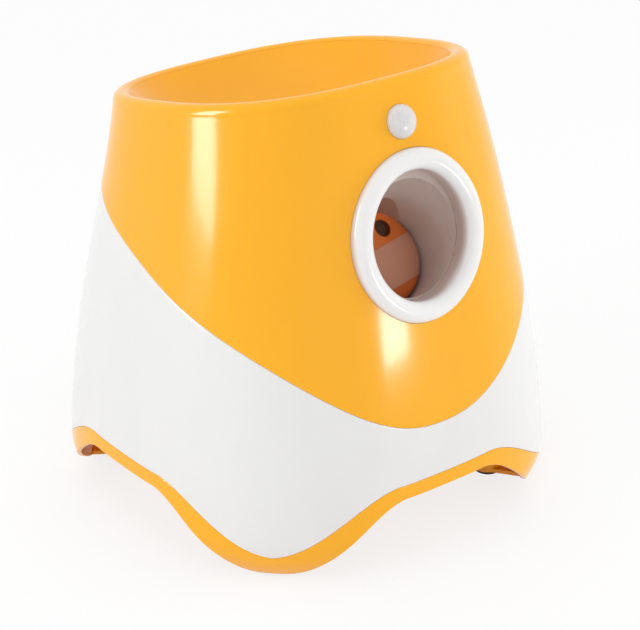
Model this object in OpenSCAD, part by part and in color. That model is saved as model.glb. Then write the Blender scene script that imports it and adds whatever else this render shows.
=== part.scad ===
// Automatic ball launcher for a dog. Balls are dropped into the bowl on top, fall down the chute
// in front of a sprung striker, and are shot out of the round mouth at the front.
// The mouth faces -Y, +X is to the right of someone looking along +Y, and the floor is z = 0.
// Angles around the body are counted from the mouth: 0 is the front, 90 the right, 180 the back.

/* [Body] */
// Overall height, at the front of the rim
body_h = 278; // [262:1:300]
// Half width of the outer skin at the floor
base_half = 138.2; // [132:0.2:150]
// Half width that the wall leaves the floor towards
lower_half = 139.5; // [134:0.5:150]
// Half width that the wall reaches the rim from
upper_half = 109.6; // [106:0.2:120]
// Half width at the rim
rim_half = 94.2; // [90:0.2:104]
// Roundness of the plan: 2 is a circle, more is squarer
corner_power = 2.65; // [2.2:0.05:3]
// Wall thickness of the moulded shells
wall = 2.6; // [2:0.1:3.2]
// How far the rim stands back from the body's middle
rim_setback = 9; // [4:0.5:12]
// Height at which the wall starts to lean back towards the rim
setback_z = 190; // [170:1:210]
// Tilt of the rim, high side at the front
rim_tilt = 10.4; // [6:0.1:12]
// Radius of the rolled lip of the rim
lip_r = 5.5; // [4.5:0.1:7]
// Depth of the lip's return on the inside
lip_return = 4; // [3:0.5:6]

/* [Seam and base] */
// Height of the colour seam at the front, where it dips
seam_dip_z = 82.5; // [75:0.5:95]
// Height that the dip is cut down from
seam_mid_z = 129.5; // [120:0.5:140]
// Further climb of the seam from the front to the back
seam_climb = 79; // [60:1:85]
// Half angle of the dip
seam_spread = 37.5; // [30:0.5:45]
// Height of the top of each arch between two feet
arch_z = 43; // [36:0.5:48]
// Height of the base's trim above the crown of an arch
trim_h = 8.5; // [6:0.5:11]
// Height of the trim's top edge at a foot
foot_trim_z = 17; // [12:0.5:22]
// How far the foot of the wall tucks in
foot_tuck = 11; // [6:0.5:14]
// Height over which it tucks in
tuck_h = 28; // [20:1:34]
// Height of the tongue that locates one shell in the next
tongue_h = 5; // [3:0.5:7]
// Thickness of the tongue
tongue_t = 1.5; // [1.2:0.1:2]
// Width of the fine gap along a joint between two shells
joint_gap = 0.1; // [0.05:0.01:0.3]

/* [Feet and screws] */
// Distance of the screw towers from the middle
tower_radius = 116; // [108:0.5:120]
// Outer radius of a screw tower
tower_r = 9; // [8:0.25:10]
// Radius of a rubber foot pad
pad_r = 8; // [6:0.25:8]
// Thickness of a rubber foot pad
pad_t = 3; // [2.4:0.1:4]
// How far a pad stands out below the sole
pad_out = 2; // [1.5:0.1:2.2]
// Thickness of the sole, the floor and the walls of the battery well
floor_t = 2.5; // [2:0.1:3]
// Radius of a housing screw's shank
screw_r = 2; // [1.75:0.05:2.25]
// Radius of its head
screw_head_r = 3.6; // [3.2:0.1:4]
// Thickness of its head
screw_head_t = 2.4; // [2:0.1:3]
// Length of a housing screw under its head
screw_len = 42; // [36:1:46]

/* [Mouth and barrel] */
// How far the middle of the mouth lies below the front of the rim
mouth_drop = 86; // [85:0.5:94]
// Backward tilt of the mouth's face
mouth_tilt = 13; // [10:0.5:16]
// Half the width of the mouth inside its ring
ring_inner_r = 34; // [33:0.25:35.5]
// Half the width of the ring outside
ring_outer_r = 46.5; // [45:0.25:48]
// How much farther the mouth and its ring reach up and down than to their sides
mouth_rise = 3.6; // [2:0.2:4.8]
// How far the ring's crown stands out of the wall
ring_proud = 3.5; // [2.5:0.25:5]
// Height of the ring's rounding
ring_round = 5; // [4:0.25:5.5]
// Depth of the ring behind the wall's face
ring_depth = 10; // [9:0.25:12]
// Upward angle of the barrel
launch_angle = 35; // [33:0.5:36]
// Inner radius of the barrel
barrel_r = 30; // [29.5:0.1:31]
// Wall thickness of the barrel and its chute
barrel_wall = 2.3; // [2:0.1:3]
// Thickness of the barrel's two flanges
flange_t = 3.5; // [3:0.25:4]
// Depth at which the barrel starts to flare towards the mouth
flare_s = 24; // [20:0.5:28]
// Depth of the seat that closes the back of the barrel
seat_s = 145; // [143.5:0.5:148]
// Thickness of that seat
seat_t = 3.5; // [3:0.25:4]

/* [Bowl and chute] */
// Distance of the chute in front of the middle
chute_y = -45; // [-46:0.5:-43]
// Thickness of the spigot that locates the bowl's throat in the chute
spigot_t = 1.3; // [1:0.1:1.6]
// Depth of that spigot
spigot_h = 4; // [2:0.5:5]
// How far the bowl's floor at the throat lies below the front of the rim
throat_drop = 70; // [64:0.5:71]
// Thickness of the bowl
bowl_t = 2.2; // [1.8:0.1:2.6]
// Share of the bowl's depth that falls evenly to the throat
bowl_even = 0.42; // [0.3:0.02:0.6]
// Power of the curve that the rest follows
bowl_power = 3.2; // [2.4:0.1:4]

/* [Striker] */
// Radius of the striker's head
striker_r = 28.4; // [27.5:0.1:29]
// Depth of the edge of its face when released
striker_s = 45; // [43:0.5:47]
// Height of the face's dome
dome_h = 5; // [3:0.5:6]
// Length of the skirt behind the face
skirt_len = 34; // [28:1:36]
// Wall thickness of the head
striker_wall = 2.8; // [2.2:0.1:3.2]
// Width of the pale strap across the face
strap_w = 25; // [24:0.5:26]
// Distance of the strap's middle below the middle of the face
strap_down = 7.5; // [6.5:0.1:8]
// Thickness of the strap
strap_t = 1.3; // [1:0.1:1.6]
// Turn of the strap on the face
strap_turn = 10; // [0:1:40]
// Width of the plunger rod
rod_w = 10; // [8:0.5:11]
// Half height of the plunger rod
rod_half = 5; // [4:0.25:5.5]
// Coils in the main spring
coils = 8; // [6:1:9]
// Radius of the main spring to the middle of its wire
spring_r = 18.5; // [17.5:0.1:19]
// Radius of its wire
wire_r = 1.2; // [0.9:0.1:1.3]

/* [Gears] */
// Tooth module of the rack and its sector gear
rack_module = 2; // [2:1:2]
// Rack teeth that one stroke moves
stroke_teeth = 10; // [8:1:10]
// Full tooth count of the sector gear's circle
sector_teeth = 18; // [18:1:18]
// Tooth module of the drive wheel and the pinion that turns it
wheel_module = 1; // [1:0.5:1]
// Tooth module of the two faster stages
fine_module = 0.8; // [0.8:0.1:0.8]
// Teeth of each large wheel
wheel_teeth = 40; // [36:1:40]
// Teeth of each small pinion
pinion_teeth = 12; // [12:1:14]
// Teeth of the motor's pinion
motor_teeth = 10; // [10:1:12]
// Play between two meshing flanks
backlash = 0.15; // [0.1:0.01:0.25]
// Depth of the contact between rack and sector
gear_s = 170; // [169.5:0.5:172]
// Width of the sector gear
sector_w = 8; // [6:0.5:9]
// Width of each large wheel
wheel_w = 4.4; // [3.6:0.2:5]
// Width of each small pinion
pinion_w = 6; // [5.6:0.2:6.4]
// Radius of the drive axle
drive_axle_r = 3; // [2.5:0.1:3.2]
// Radius of the two faster axles
fine_axle_r = 1.5; // [1.25:0.05:1.75]
// Running clearance of a gear on its axle
running = 0.06; // [0.03:0.01:0.09]
// Thickness of the two gearbox plates
plate_t = 3; // [2.5:0.25:3.5]
// Left face of the gap between the plates
gap_left = -9; // [-10:0.5:-8]
// Right face of the gap between the plates
gap_right = 26; // [25.5:0.5:28]
// Radius of the motor can
motor_r = 13.8; // [12:0.1:15]
// Length of the motor can
motor_len = 37; // [30:1:40]
// Radius of the motor's shaft
shaft_r = 1; // [1:0.05:1.2]

/* [Electronics] */
// Distance of the ball sensor's lens below the body's top
lens_drop = 23; // [20:0.5:28]
// Radius of the lens
lens_r = 9.8; // [8.5:0.1:10.5]
// Height of the lens's dome
lens_dome = 6; // [5:0.25:7]
// Height of the control panel's middle on the back
panel_z = 128; // [118:0.5:134]
// Width of the control panel
panel_w = 74; // [66:0.5:80]
// Height of the control panel
panel_h = 34; // [28:0.5:36]
// Thickness of the control panel
panel_t = 3.4; // [3:0.1:4]
// Radius of its two buttons
button_r = 7.5; // [6.5:0.1:8]
// Distance of a button from the panel's middle
button_x = 21; // [19:0.5:22]
// Travel of a button
button_travel = 1.2; // [0.8:0.1:1.4]
// Clearance round a button and round the panel
fit = 0.3; // [0.2:0.02:0.4]
// Height of the power inlet on the back
inlet_z = 78; // [72:0.5:84]
// Height of the ball lever's pivot below the chute's top
lever_drop = 13.8; // [12:0.1:15]
// Distance of the main board's middle inside the foot of the wall
board_in = 60.2; // [58:0.2:64]
// Distance of the speaker's middle inside the foot of the wall
speaker_in = 56.2; // [52:0.2:60]
// Radius of the speaker
speaker_r = 20; // [16:0.5:21]
// Radius of the power inlet's bore
inlet_r = 3; // [2.75:0.05:3.2]

/* [Battery] */
// Radius of a battery cell
cell_r = 13.1; // [13.1:0.1:13.2]
// Length of a battery cell
cell_len = 50; // [49.5:0.1:50]
// Gap between two cells
cell_gap = 0.8; // [0.5:0.1:1.2]
// Height of the battery door's underside
well_z = 8; // [6:0.5:9]
// Distance of the battery well's middle behind the body's middle
well_y = 6; // [0:1:10]

/* [Hidden] */

columns = 72;
step_a = 360 / columns;
corner_a = 45;
lip_steps = 6;
wall_rows = 8;
pressure = 20;
lens_z = body_h - lens_drop;

// Shanks of the small, feet and board screws, and their play in a bore they bite into or pass through
small_r = 1.2;
feet_r = 1.4;
board_r = 0.9;
bite = 0.03;
loose = 0.15;

// ---- Outer skin ----

// A cubic curve from a to d that leaves towards b and arrives from c
function cubic(t, a, b, c, d) =
    pow(1 - t, 3) * a + 3 * pow(1 - t, 2) * t * b + 3 * (1 - t) * t * t * c + pow(t, 3) * d;

// A smooth step from 0 to 1
function smooth(t) = let(u = min(max(t, 0), 1)) u * u * (3 - 2 * u);

function mix(a, b, t) = a * (1 - t) + b * t;

function tuck(z) = z < tuck_h ? foot_tuck * pow(1 - z / tuck_h, 2) : 0;

function half_w(z) = cubic(z / body_h, base_half, lower_half, upper_half, rim_half) - tuck(z);

function setback(z) = z > setback_z ? rim_setback * pow((z - setback_z) / (body_h - setback_z), 2) : 0;

function plan(a) = pow(pow(abs(sin(a)), corner_power) + pow(abs(cos(a)), corner_power), -1 / corner_power);

// Point of the skin at angle a and height z, moved inwards by inset
function skin(a, z, inset = 0) = let(r = (half_w(z) - inset) * plan(a)) [r * sin(a), setback(z) - r * cos(a), z];

// Lean of the wall from upright at angle a and height z
function lean(a, z) = atan2(norm2(skin(a, z - 1)) - norm2(skin(a, z + 1)), 2);

function norm2(p) = norm([p[0], p[1]]);

rim_front_y = rim_setback - rim_half;
rim_mid_z = body_h + tan(rim_tilt) * rim_front_y;

// Height of the tilted rim plane above the skin at angle a, found by repeated approach
function rim_z(a, z = body_h, n = 5) = n == 0 ? z : rim_z(a, rim_mid_z - tan(rim_tilt) * skin(a, z)[1], n - 1);

function from_front(a) = abs(((a + 180) % 360 + 360) % 360 - 180);

// Height of the seam: a smooth dip at the front and a steady climb to the back
function seam_z(a) =
    seam_mid_z + seam_climb * (1 - cos(a)) / 2
    - (seam_mid_z - seam_dip_z) * exp(-pow(from_front(a) / seam_spread, 2.3));

// 1 along the crown of the arch, 0 towards a foot
function arch_share(a, flat, full) = 1 - smooth((abs(fold(a)) - flat) / (full - flat));

function fold(a) = ((a + corner_a) % 90 + 90) % 90 - corner_a;

function trim_z(a) = mix(foot_trim_z, arch_z + trim_h, arch_share(a, 14, 47));

function arch_edge_z(a) = mix(pad_out, arch_z, arch_share(a, 12, 42));

// A closed section carried round the body: sections[i] are the points at column i
module ring_solid(sections) {
    n = len(sections);
    m = len(sections[0]);
    faces = [
        for (i = [0:n - 1], j = [0:m - 1])
        let(a = i * m + j, b = i * m + (j + 1) % m, c = (i + 1) % n * m + (j + 1) % m, d = (i + 1) % n * m + j)
        each [[a, b, c], [a, c, d]]
    ];
    polyhedron([for (s = sections) each s], faces, convexity = 8);
}

function angles() = [for (i = [0:columns - 1]) i * step_a];

// Heights of the rows of a wall from low to high
function rows(low, high, n) = [for (k = [0:n]) mix(low, high, k / n)];

// Heights from low to high that crowd together at the low end, where the foot tucks in
function foot_rows(low, high, n) = [for (k = [0:n]) mix(low, high, pow(k / n, 2))];

function reversed(list) = [for (k = [len(list) - 1:-1:0]) list[k]];

// Outline of the skin at one height, as a flat polygon
function outline(z, insets) = [for (i = [0:columns - 1]) let(p = skin(i * step_a, z, insets[i])) [p[0], p[1]]];

// Frame on the skin: z points out of the wall and y up along it
module on_skin(a, z, depth = 0) {
    translate(skin(a, z)) rotate([0, 0, a]) rotate([90 - lean(a, z), 0, 0]) translate([0, 0, -depth]) children();
}

module at_corners(radius) {
    for (k = [0:3]) rotate([0, 0, corner_a + 90 * k]) translate([0, -radius, 0]) children();
}

// A bar with round ends between two points of a plane
module strap2d(p, q, r) {
    d = q - p;
    translate(p) circle(r, $fn = 48);
    translate(q) circle(r, $fn = 48);
    translate(p) rotate(atan2(d[1], d[0])) translate([0, -r]) square([norm(d), 2 * r]);
}

module rounded2d(w, h, r) {
    square([w - 2 * r, h], center = true);
    square([w, h - 2 * r], center = true);
    for (x = [-1, 1], y = [-1, 1]) translate([x * (w / 2 - r), y * (h / 2 - r)]) circle(r, $fn = 48);
}

module screw(length, shank_r, head_r, head_t) {
    cylinder(h = length, r = shank_r, $fn = 32);
    difference() {
        translate([0, 0, -head_t]) cylinder(h = head_t, r = head_r, $fn = 40);
        translate([0, 0, -head_t - 0.5]) cross_recess(head_r, head_t * 0.6 + 0.5);
    }
}

module cross_recess(head_r, depth) {
    translate([-head_r * 0.55, -head_r * 0.13, 0]) cube([head_r * 1.1, head_r * 0.26, depth]);
    translate([-head_r * 0.13, -head_r * 0.55, 0]) cube([head_r * 0.26, head_r * 1.1, depth]);
}

// ---- Mouth and barrel frames ----

mouth_z = body_h - mouth_drop;
throat_z = body_h - throat_drop;
mouth = skin(0, mouth_z);

// Frame of the mouth ring: z points out of the mouth
module at_mouth() {
    translate(mouth) rotate([90 - mouth_tilt, 0, 0]) children();
}

// The mouth is an oval of four arcs. Their centres are corners of right triangles with sides 3, 4 and 5
// of this length, so the arcs meet in a smooth line and at points that are exact.
oval_unit = mouth_rise / 2;
oval_reach = 20;

// The part of the plane that the right-hand side arc, or the upper end arc, is drawn in
module side_wedge() {
    x = 3 * (oval_reach - oval_unit);
    polygon([[-3 * oval_unit, 0], [x, -4 * oval_reach], [x, 4 * oval_reach]]);
}

module end_wedge() {
    y = 4 * (oval_reach + oval_unit);
    polygon([[0, 4 * oval_unit], [3 * oval_reach, y], [-3 * oval_reach, y]]);
}

// A profile taken round the oval; its r counts as half the oval's width
module oval_sweep(h) {
    for (a = [0, 180]) rotate(a) intersection() {
        translate([-3 * oval_unit, 0, 0]) rotate_extrude($fn = 128) translate([3 * oval_unit, 0]) children();
        translate([0, 0, -h]) linear_extrude(2 * h) side_wedge();
    }
    for (a = [0, 180]) rotate(a) intersection() {
        translate([0, 4 * oval_unit, 0]) rotate_extrude($fn = 128) translate([-2 * oval_unit, 0]) children();
        translate([0, 0, -h]) linear_extrude(2 * h) end_wedge();
    }
}

// An oval plate from z = 0 to h, r being half its width
module oval_plate(r, h) {
    for (a = [0, 180]) rotate(a) linear_extrude(h) intersection() {
        translate([-3 * oval_unit, 0]) circle(r + 3 * oval_unit, $fn = 128);
        side_wedge();
    }
    for (a = [0, 180]) rotate(a) linear_extrude(h) intersection() {
        translate([0, 4 * oval_unit]) circle(r - 2 * oval_unit, $fn = 128);
        end_wedge();
    }
}

// Frame at depth s along the barrel: z points towards the mouth and y up
module along_barrel(s) {
    translate(mouth) rotate([90 - launch_angle, 0, 0]) translate([0, 0, -s]) children();
}

// The same frame flattened to the plane across X: [y, z] of a point at depth s and height up
function side_point(s, up) = [
    mouth[1] + s * cos(launch_angle) + up * sin(launch_angle),
    mouth[2] - s * sin(launch_angle) + up * cos(launch_angle)
];

// A plate or gear drawn in the plane across X, from x to x + w
module across(x, w) {
    translate([x, 0, 0]) rotate([90, 0, 90]) linear_extrude(w, convexity = 6) children();
}

// A pin along X at the side point c
module pin_across(x, w, c, r) {
    translate([x, c[0], c[1]]) rotate([0, 90, 0]) cylinder(h = w, r = r, $fn = 48);
}

chute_outer_r = barrel_r + barrel_wall;
chute_inner_r = barrel_r - 0.2;
throat_r = chute_inner_r - fit - spigot_t;
chute_top_z = throat_z - bowl_t;
axis_at_chute_z = mouth_z - tan(launch_angle) * (chute_y - mouth[1]);
flange_r = ring_outer_r - 0.5;
rear_flange_r = barrel_r + 8;

// ---- Drive layout, in the plane across X ----

stroke = stroke_teeth * PI * rack_module;
sector_r = sector_teeth * rack_module / 2;
rack_line = rod_half;
drive_c = side_point(gear_s, rack_line + sector_r);
drive_distance = (wheel_teeth + pinion_teeth) * wheel_module / 2;
fine_distance = (wheel_teeth + pinion_teeth) * fine_module / 2;
motor_distance = (wheel_teeth + motor_teeth) * fine_module / 2;
second_dir = 60;
first_dir = 100;
motor_dir = 40;
second_c = drive_c + drive_distance * [cos(second_dir), sin(second_dir)];
first_c = second_c + fine_distance * [cos(first_dir), sin(first_dir)];
motor_c = first_c + motor_distance * [cos(motor_dir), sin(motor_dir)];
end_play = 0.3;
// Left faces of the wheels and pinions, stage by stage
drive_wheel_x = sector_w / 2 + 2;
second_pinion_x = drive_wheel_x - (pinion_w - wheel_w) / 2;
second_wheel_x = second_pinion_x + pinion_w + 1;
first_pinion_x = second_wheel_x - (pinion_w - wheel_w) / 2;
first_wheel_x = first_pinion_x + pinion_w + 0.6;
motor_pinion_x = first_wheel_x - (pinion_w - wheel_w) / 2;

// ---- Gear teeth ----

function radians(a) = a * PI / 180;

// Involute angle in degrees at radius r over a base circle of radius rb
function involute(r, rb) = r <= rb ? 0 : let(u = sqrt(pow(r / rb, 2) - 1)) u * 180 / PI - atan(u);

// Outline of a spur gear; the first present teeth of its circle are cut, the rest is blank
function gear_outline(teeth, module_mm, present) =
    let(
        r = teeth * module_mm / 2,
        rb = r * cos(pressure),
        tip = r + module_mm,
        root = r - 1.25 * module_mm,
        low = max(rb, root),
        half = 90 / teeth - backlash / (2 * r) * 180 / PI + involute(r, rb),
        radii = [for (k = [0:3]) mix(low, tip, k / 3)]
    )
    [
        for (i = [0:teeth - 1])
        let(c = 360 / teeth * i)
        each i < present
            ? [
                if (root < low) polar(root, c - half),
                for (k = [0:3]) polar(radii[k], c - half + involute(radii[k], rb)),
                for (k = [3:-1:0]) polar(radii[k], c + half - involute(radii[k], rb)),
                if (root < low) polar(root, c + half)
            ]
            : [for (k = [-1, 0, 1]) polar(root, c + k * 120 / teeth)]
    ];

function polar(r, a) = [r * cos(a), r * sin(a)];

module gear2d(teeth, module_mm, turn, present = 1000) {
    rotate(turn) polygon(gear_outline(teeth, module_mm, present));
}

// Turn of a follower that puts one of its gaps on the line to its driver's tooth
function mesh_turn(dir, driver_teeth, driver_turn, teeth) =
    dir + 180 + 180 / teeth - driver_teeth / teeth * (driver_turn - dir);

sector_turn = 270 - launch_angle - (stroke_teeth + 1) * 360 / sector_teeth + 360 / sector_teeth;
drive_wheel_turn = second_dir;
second_turn = mesh_turn(second_dir, wheel_teeth, drive_wheel_turn, pinion_teeth);
second_wheel_turn = first_dir;
first_turn = mesh_turn(first_dir, wheel_teeth, second_wheel_turn, pinion_teeth);
first_wheel_turn = motor_dir;
motor_turn = mesh_turn(motor_dir, wheel_teeth, first_wheel_turn, motor_teeth);

// ---- Shells ----

module top_shell() {
    color("orange") difference() {
        union() {
            ring_solid([for (a = angles()) top_section(a)]);
            on_skin(0, lens_z, sensor_depth) sensor_posts();
        }
        at_mouth() translate([0, 0, -40]) oval_plate(ring_outer_r + fit / 2, 60);
        on_skin(0, lens_z, 12) cylinder(h = 24, r = lens_r + fit / 2, $fn = 64);
    }
}

function top_section(a) =
    let(
        top = rim_z(a) - lip_r,
        low = seam_z(a),
        inner_r = lip_r - wall
    )
    [
        for (z = rows(low, top, wall_rows)) skin(a, z),
        for (k = [1:lip_steps]) let(t = 180 * k / lip_steps) lip_point(a, top, lip_r, t),
        skin_at(a, top, top - lip_return, 2 * lip_r),
        skin_at(a, top, top - lip_return, 2 * lip_r - wall),
        for (k = [lip_steps:-1:1]) let(t = 180 * k / lip_steps) lip_point(a, top, inner_r, t),
        for (z = rows(top, low, wall_rows)) skin(a, z, wall)
    ];

// Point of the rolled lip, its circle centred one lip radius inside the wall
function lip_point(a, top, r, t) = skin_at(a, top, top + r * sin(t), lip_r - r * cos(t));

// Skin point measured at height at, but placed at height z
function skin_at(a, at, z, inset) = let(p = skin(a, at, inset)) [p[0], p[1], z];

module main_housing() {
    color("white") difference() {
        union() {
            ring_solid([for (a = angles()) housing_section(a)]);
            at_corners(0) housing_post();
        }
        on_skin(180, panel_z, 20) linear_extrude(40) rounded2d(panel_w + fit, panel_h + fit, panel_corner);
        on_skin(180, inlet_z, 20) cylinder(h = 40, r = inlet_r + inlet_wall + fit - 0.1, $fn = 48);
    }
}

function housing_section(a) = wall_section(a, trim_z(a) + joint_gap, seam_z(a) - joint_gap, wall_rows);

// A wall from low to high with a tongue that stands up behind the next shell
function wall_section(a, low, high, n) =
    let(shelf = wall + fit, back = wall + fit + tongue_t)
    [
        for (z = foot_rows(low, high, n)) skin(a, z),
        skin(a, high, shelf),
        skin(a, high + tongue_h, shelf),
        skin(a, high + tongue_h, back),
        skin(a, high - 1, back),
        skin(a, high - 3, wall),
        for (z = reversed(foot_rows(low, high - 6, n - 1))) skin(a, z, wall)
    ];

// A screw post with a rib that joins it to the wall behind it
module housing_post() {
    post_z = arch_z + floor_t;
    post_h = screw_len + 2;
    rib_low = post_z + 4;
    rib_high = post_z + post_h;
    rib_t = 2.4;
    translate([0, -tower_radius, 0]) difference() {
        translate([0, 0, post_z]) cylinder(h = post_h, r = screw_r + 3, $fn = 48);
        translate([0, 0, post_z - 1]) cylinder(h = post_h - 4, r = screw_r + bite, $fn = 32);
    }
    rotate([90, 0, -90]) translate([0, 0, -rib_t / 2])
        linear_extrude(rib_t) polygon(concat(
            [[tower_radius + 4, rib_high], [tower_radius + 4, rib_low]],
            [for (z = rows(rib_low, rib_high, 6)) [norm2(skin(corner_a, z, wall / 2)), z]]
        ));
}

module base_tray() {
    color("orange") difference() {
        union() {
            ring_solid([for (a = angles()) base_section(a)]);
            base_floor();
            battery_well();
            at_corners(tower_radius) tower();
            sole_plates();
            gearbox_bosses();
            board_posts();
        }
        at_corners(tower_radius) translate([0, 0, -1]) {
            cylinder(h = arch_z + 20, r = screw_r + loose, $fn = 32);
            cylinder(h = screw_seat_z + 1, r = screw_head_r + fit, $fn = 48);
            cylinder(h = pad_t + 1, r = pad_r + joint_gap, $fn = 48);
        }
        gearbox_foot_holes();
        speaker_grille();
        translate([-tab_w / 2 - fit, well_y + well_in_l / 2 - 1, well_z - 1]) cube([tab_w + 2 * fit, 6, door_t + 1.2]);
    }
}

function base_section(a) =
    let(low = arch_edge_z(a), high = trim_z(a), shelf = wall + fit, back = wall + fit + tongue_t)
    [
        for (z = rows(low, high, 5)) skin(a, z),
        skin(a, high, shelf),
        skin(a, high + tongue_h, shelf),
        skin(a, high + tongue_h, back),
        skin(a, high - 1, back),
        for (z = rows(high - 3, low, 4)) skin(a, z, wall)
    ];

// The floor meets the trim under each arch and clears the housing at the feet
floor_insets = [
    for (a = angles())
    min(trim_z(a - step_a), trim_z(a + step_a)) > arch_z + floor_t + joint_gap ? wall - 0.4 : wall + 0.4
];

module base_floor() {
    translate([0, 0, arch_z]) linear_extrude(floor_t) difference() {
        polygon(outline(arch_z + floor_t / 2, floor_insets));
        translate([0, well_y]) square([well_in_w, well_in_l], center = true);
    }
}

cell_pitch = 2 * cell_r + cell_gap;
well_in_w = 3 * cell_pitch + 2;
well_in_l = 2 * cell_len + 12;
well_w = well_in_w + 2 * floor_t;
well_l = well_in_l + 2 * floor_t;
well_corner = 6;
tab_w = 12;
tab_y = well_l / 2 + 5;
screw_seat_z = arch_z - 10;

// Battery compartment hanging under the floor, open at the bottom and covered on top
module battery_well() {
    translate([0, well_y, 0]) {
        translate([0, 0, well_z]) linear_extrude(arch_z - well_z + floor_t) difference() {
            rounded2d(well_w, well_l, well_corner);
            square([well_in_w, well_in_l], center = true);
        }
        translate([-well_w / 2 + 1, -well_l / 2 + 1, arch_z]) cube([well_w - 2, well_l - 2, floor_t]);
        translate([0, tab_y, well_z + floor_t + 0.2]) difference() {
            cylinder(h = arch_z - well_z - floor_t, r = tab_w / 2, $fn = 48);
            translate([0, 0, -1]) cylinder(h = 20, r = feet_r + bite, $fn = 32);
        }
    }
}

// Hollow leg tower: a screw passes up through it into the housing's post
module tower() {
    translate([0, 0, pad_out]) cylinder(h = arch_z + floor_t - pad_out, r = tower_r, $fn = 64);
}

// Flat sole that joins each tower to the wall of its foot
module sole_plates() {
    for (k = [0:3]) translate([0, 0, pad_out]) linear_extrude(floor_t) polygon(concat(
        [for (a = [-8, 0, 8]) sole_point(corner_a + 90 * k + a, wall / 2)],
        [for (a = [4, -4]) let(c = corner_a + 90 * k + a) [(tower_radius - 4) * sin(c), -(tower_radius - 4) * cos(c)]]
    ));
}

function sole_point(a, inset) = let(p = skin(a, pad_out + floor_t / 2, inset)) [p[0], p[1]];

module foot_pads() {
    color("dimgray") at_corners(tower_radius) cylinder(h = pad_t, r = pad_r, $fn = 64);
}

module housing_screws() {
    color("silver") at_corners(tower_radius) translate([0, 0, screw_seat_z])
        screw(screw_len, screw_r, screw_head_r, screw_head_t);
}

// ---- Bowl ----

module hopper_bowl() {
    color("orange") ring_solid([for (a = angles()) bowl_section(a)]);
}

bowl_rows = 9;

function bowl_start(a, inset) =
    let(top = rim_z(a) - lip_r) skin_at(a, top, top - lip_return - joint_gap, inset);

// Point of the throat, whose plane is tilted like the rim's; z is counted at the chute's middle
function throat_point(a, r, z) = [r * sin(a), chute_y - r * cos(a), z + tan(rim_tilt) * r * cos(a)];

// Point of the bowl between the throat (share 0) and the rim (share 1)
function bowl_point(a, share, out, down) =
    let(
        p = bowl_start(a, 2 * lip_r - out),
        q = throat_point(a, throat_r + out, throat_z),
        rise = bowl_even * share + (1 - bowl_even) * pow(share, bowl_power)
    )
    [mix(q[0], p[0], share), mix(q[1], p[1], share), mix(q[2], p[2], rise) - down];

function bowl_section(a) =
    [
        for (k = [0:bowl_rows]) bowl_point(a, 1 - k / bowl_rows, 0, 0),
        throat_point(a, throat_r, chute_top_z - spigot_h),
        throat_point(a, throat_r + spigot_t, chute_top_z - spigot_h),
        throat_point(a, throat_r + spigot_t, chute_top_z),
        throat_point(a, chute_outer_r, chute_top_z),
        for (k = [1:bowl_rows]) let(s = k / bowl_rows) bowl_point(a, s, wall * (1 + (1 - s)), bowl_t * (1 - pow(s, 6)))
    ];

// ---- Mouth, barrel and striker ----

module mouth_ring() {
    mid_r = (ring_inner_r + ring_outer_r) / 2;
    half = (ring_outer_r - ring_inner_r) / 2;
    base = ring_proud - ring_round;
    color("white") at_mouth() difference() {
        oval_sweep(2 * ring_depth) polygon(concat(
            [[ring_inner_r, -ring_depth], [ring_outer_r, -ring_depth]],
            [for (t = [0:12:180]) [mid_r + half * cos(t), base + ring_round * sin(t)]]
        ));
        ring_screw_places() translate([0, 0, -ring_depth - 1]) cylinder(h = 8, r = small_r + bite, $fn = 24);
    }
}

module ring_screw_places() {
    r = (ring_inner_r + ring_outer_r) / 2;
    for (a = [0, 105, 255]) translate([-r * sin(a), (r + mouth_rise) * cos(a), 0]) children();
}

module ring_screws() {
    color("silver") at_mouth() ring_screw_places() translate([0, 0, -ring_depth - flange_t])
        screw(9, small_r, 2.4, 1.6);
}

module launch_barrel() {
    color("silver") difference() {
        union() {
            difference() {
                union() {
                    along_barrel(seat_s) cylinder(h = seat_s + 40, r = barrel_r + barrel_wall, $fn = 96);
                    along_barrel(flare_s) cylinder(h = flare_s - 8, r1 = barrel_r + barrel_wall, r2 = ring_inner_r + 1.6, $fn = 96);
                    along_barrel(8) cylinder(h = 50, r = ring_inner_r + 1.6, $fn = 96);
                }
                at_mouth() translate([-80, -80, -ring_depth - flange_t]) cube([160, 160, 120]);
            }
            at_mouth() translate([0, 0, -ring_depth - flange_t]) oval_plate(flange_r, flange_t);
            along_barrel(seat_s) cylinder(h = flange_t, r = rear_flange_r, $fn = 96);
            chute_collar();
        }
        barrel_space();
        translate([0, chute_y, axis_at_chute_z]) cylinder(h = 100, r = chute_inner_r, $fn = 96);
        at_mouth() ring_screw_places() translate([0, 0, -40]) cylinder(h = 60, r = small_r + loose, $fn = 24);
        along_barrel(seat_s) seat_screw_places() translate([0, 0, -5]) cylinder(h = 20, r = small_r + bite, $fn = 24);
        lever_slot();
    }
}

// Upright chute over the barrel, its top face tilted like the rim
module chute_collar() {
    difference() {
        translate([0, chute_y, axis_at_chute_z]) cylinder(h = 100, r = chute_outer_r, $fn = 96);
        translate([0, chute_y, chute_top_z]) rotate([-rim_tilt, 0, 0]) translate([-60, -60, 0]) cube([120, 120, 120]);
    }
}

// The space inside the barrel: a straight bore that flares towards the mouth
module barrel_space() {
    along_barrel(seat_s + 10) cylinder(h = seat_s + 60, r = barrel_r, $fn = 96);
    along_barrel(flare_s) cylinder(h = flare_s - 8, r1 = barrel_r, r2 = ring_inner_r - 0.6, $fn = 96);
    along_barrel(8) cylinder(h = 60, r = ring_inner_r - 0.6, $fn = 96);
}

module seat_screw_places() {
    for (a = [60, 120, 240, 300]) rotate([0, 0, a]) translate([rear_flange_r - 3.6, 0, 0]) children();
}

slide_play = 0.1;
guide_r = 14;
guide_h = 18;

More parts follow.
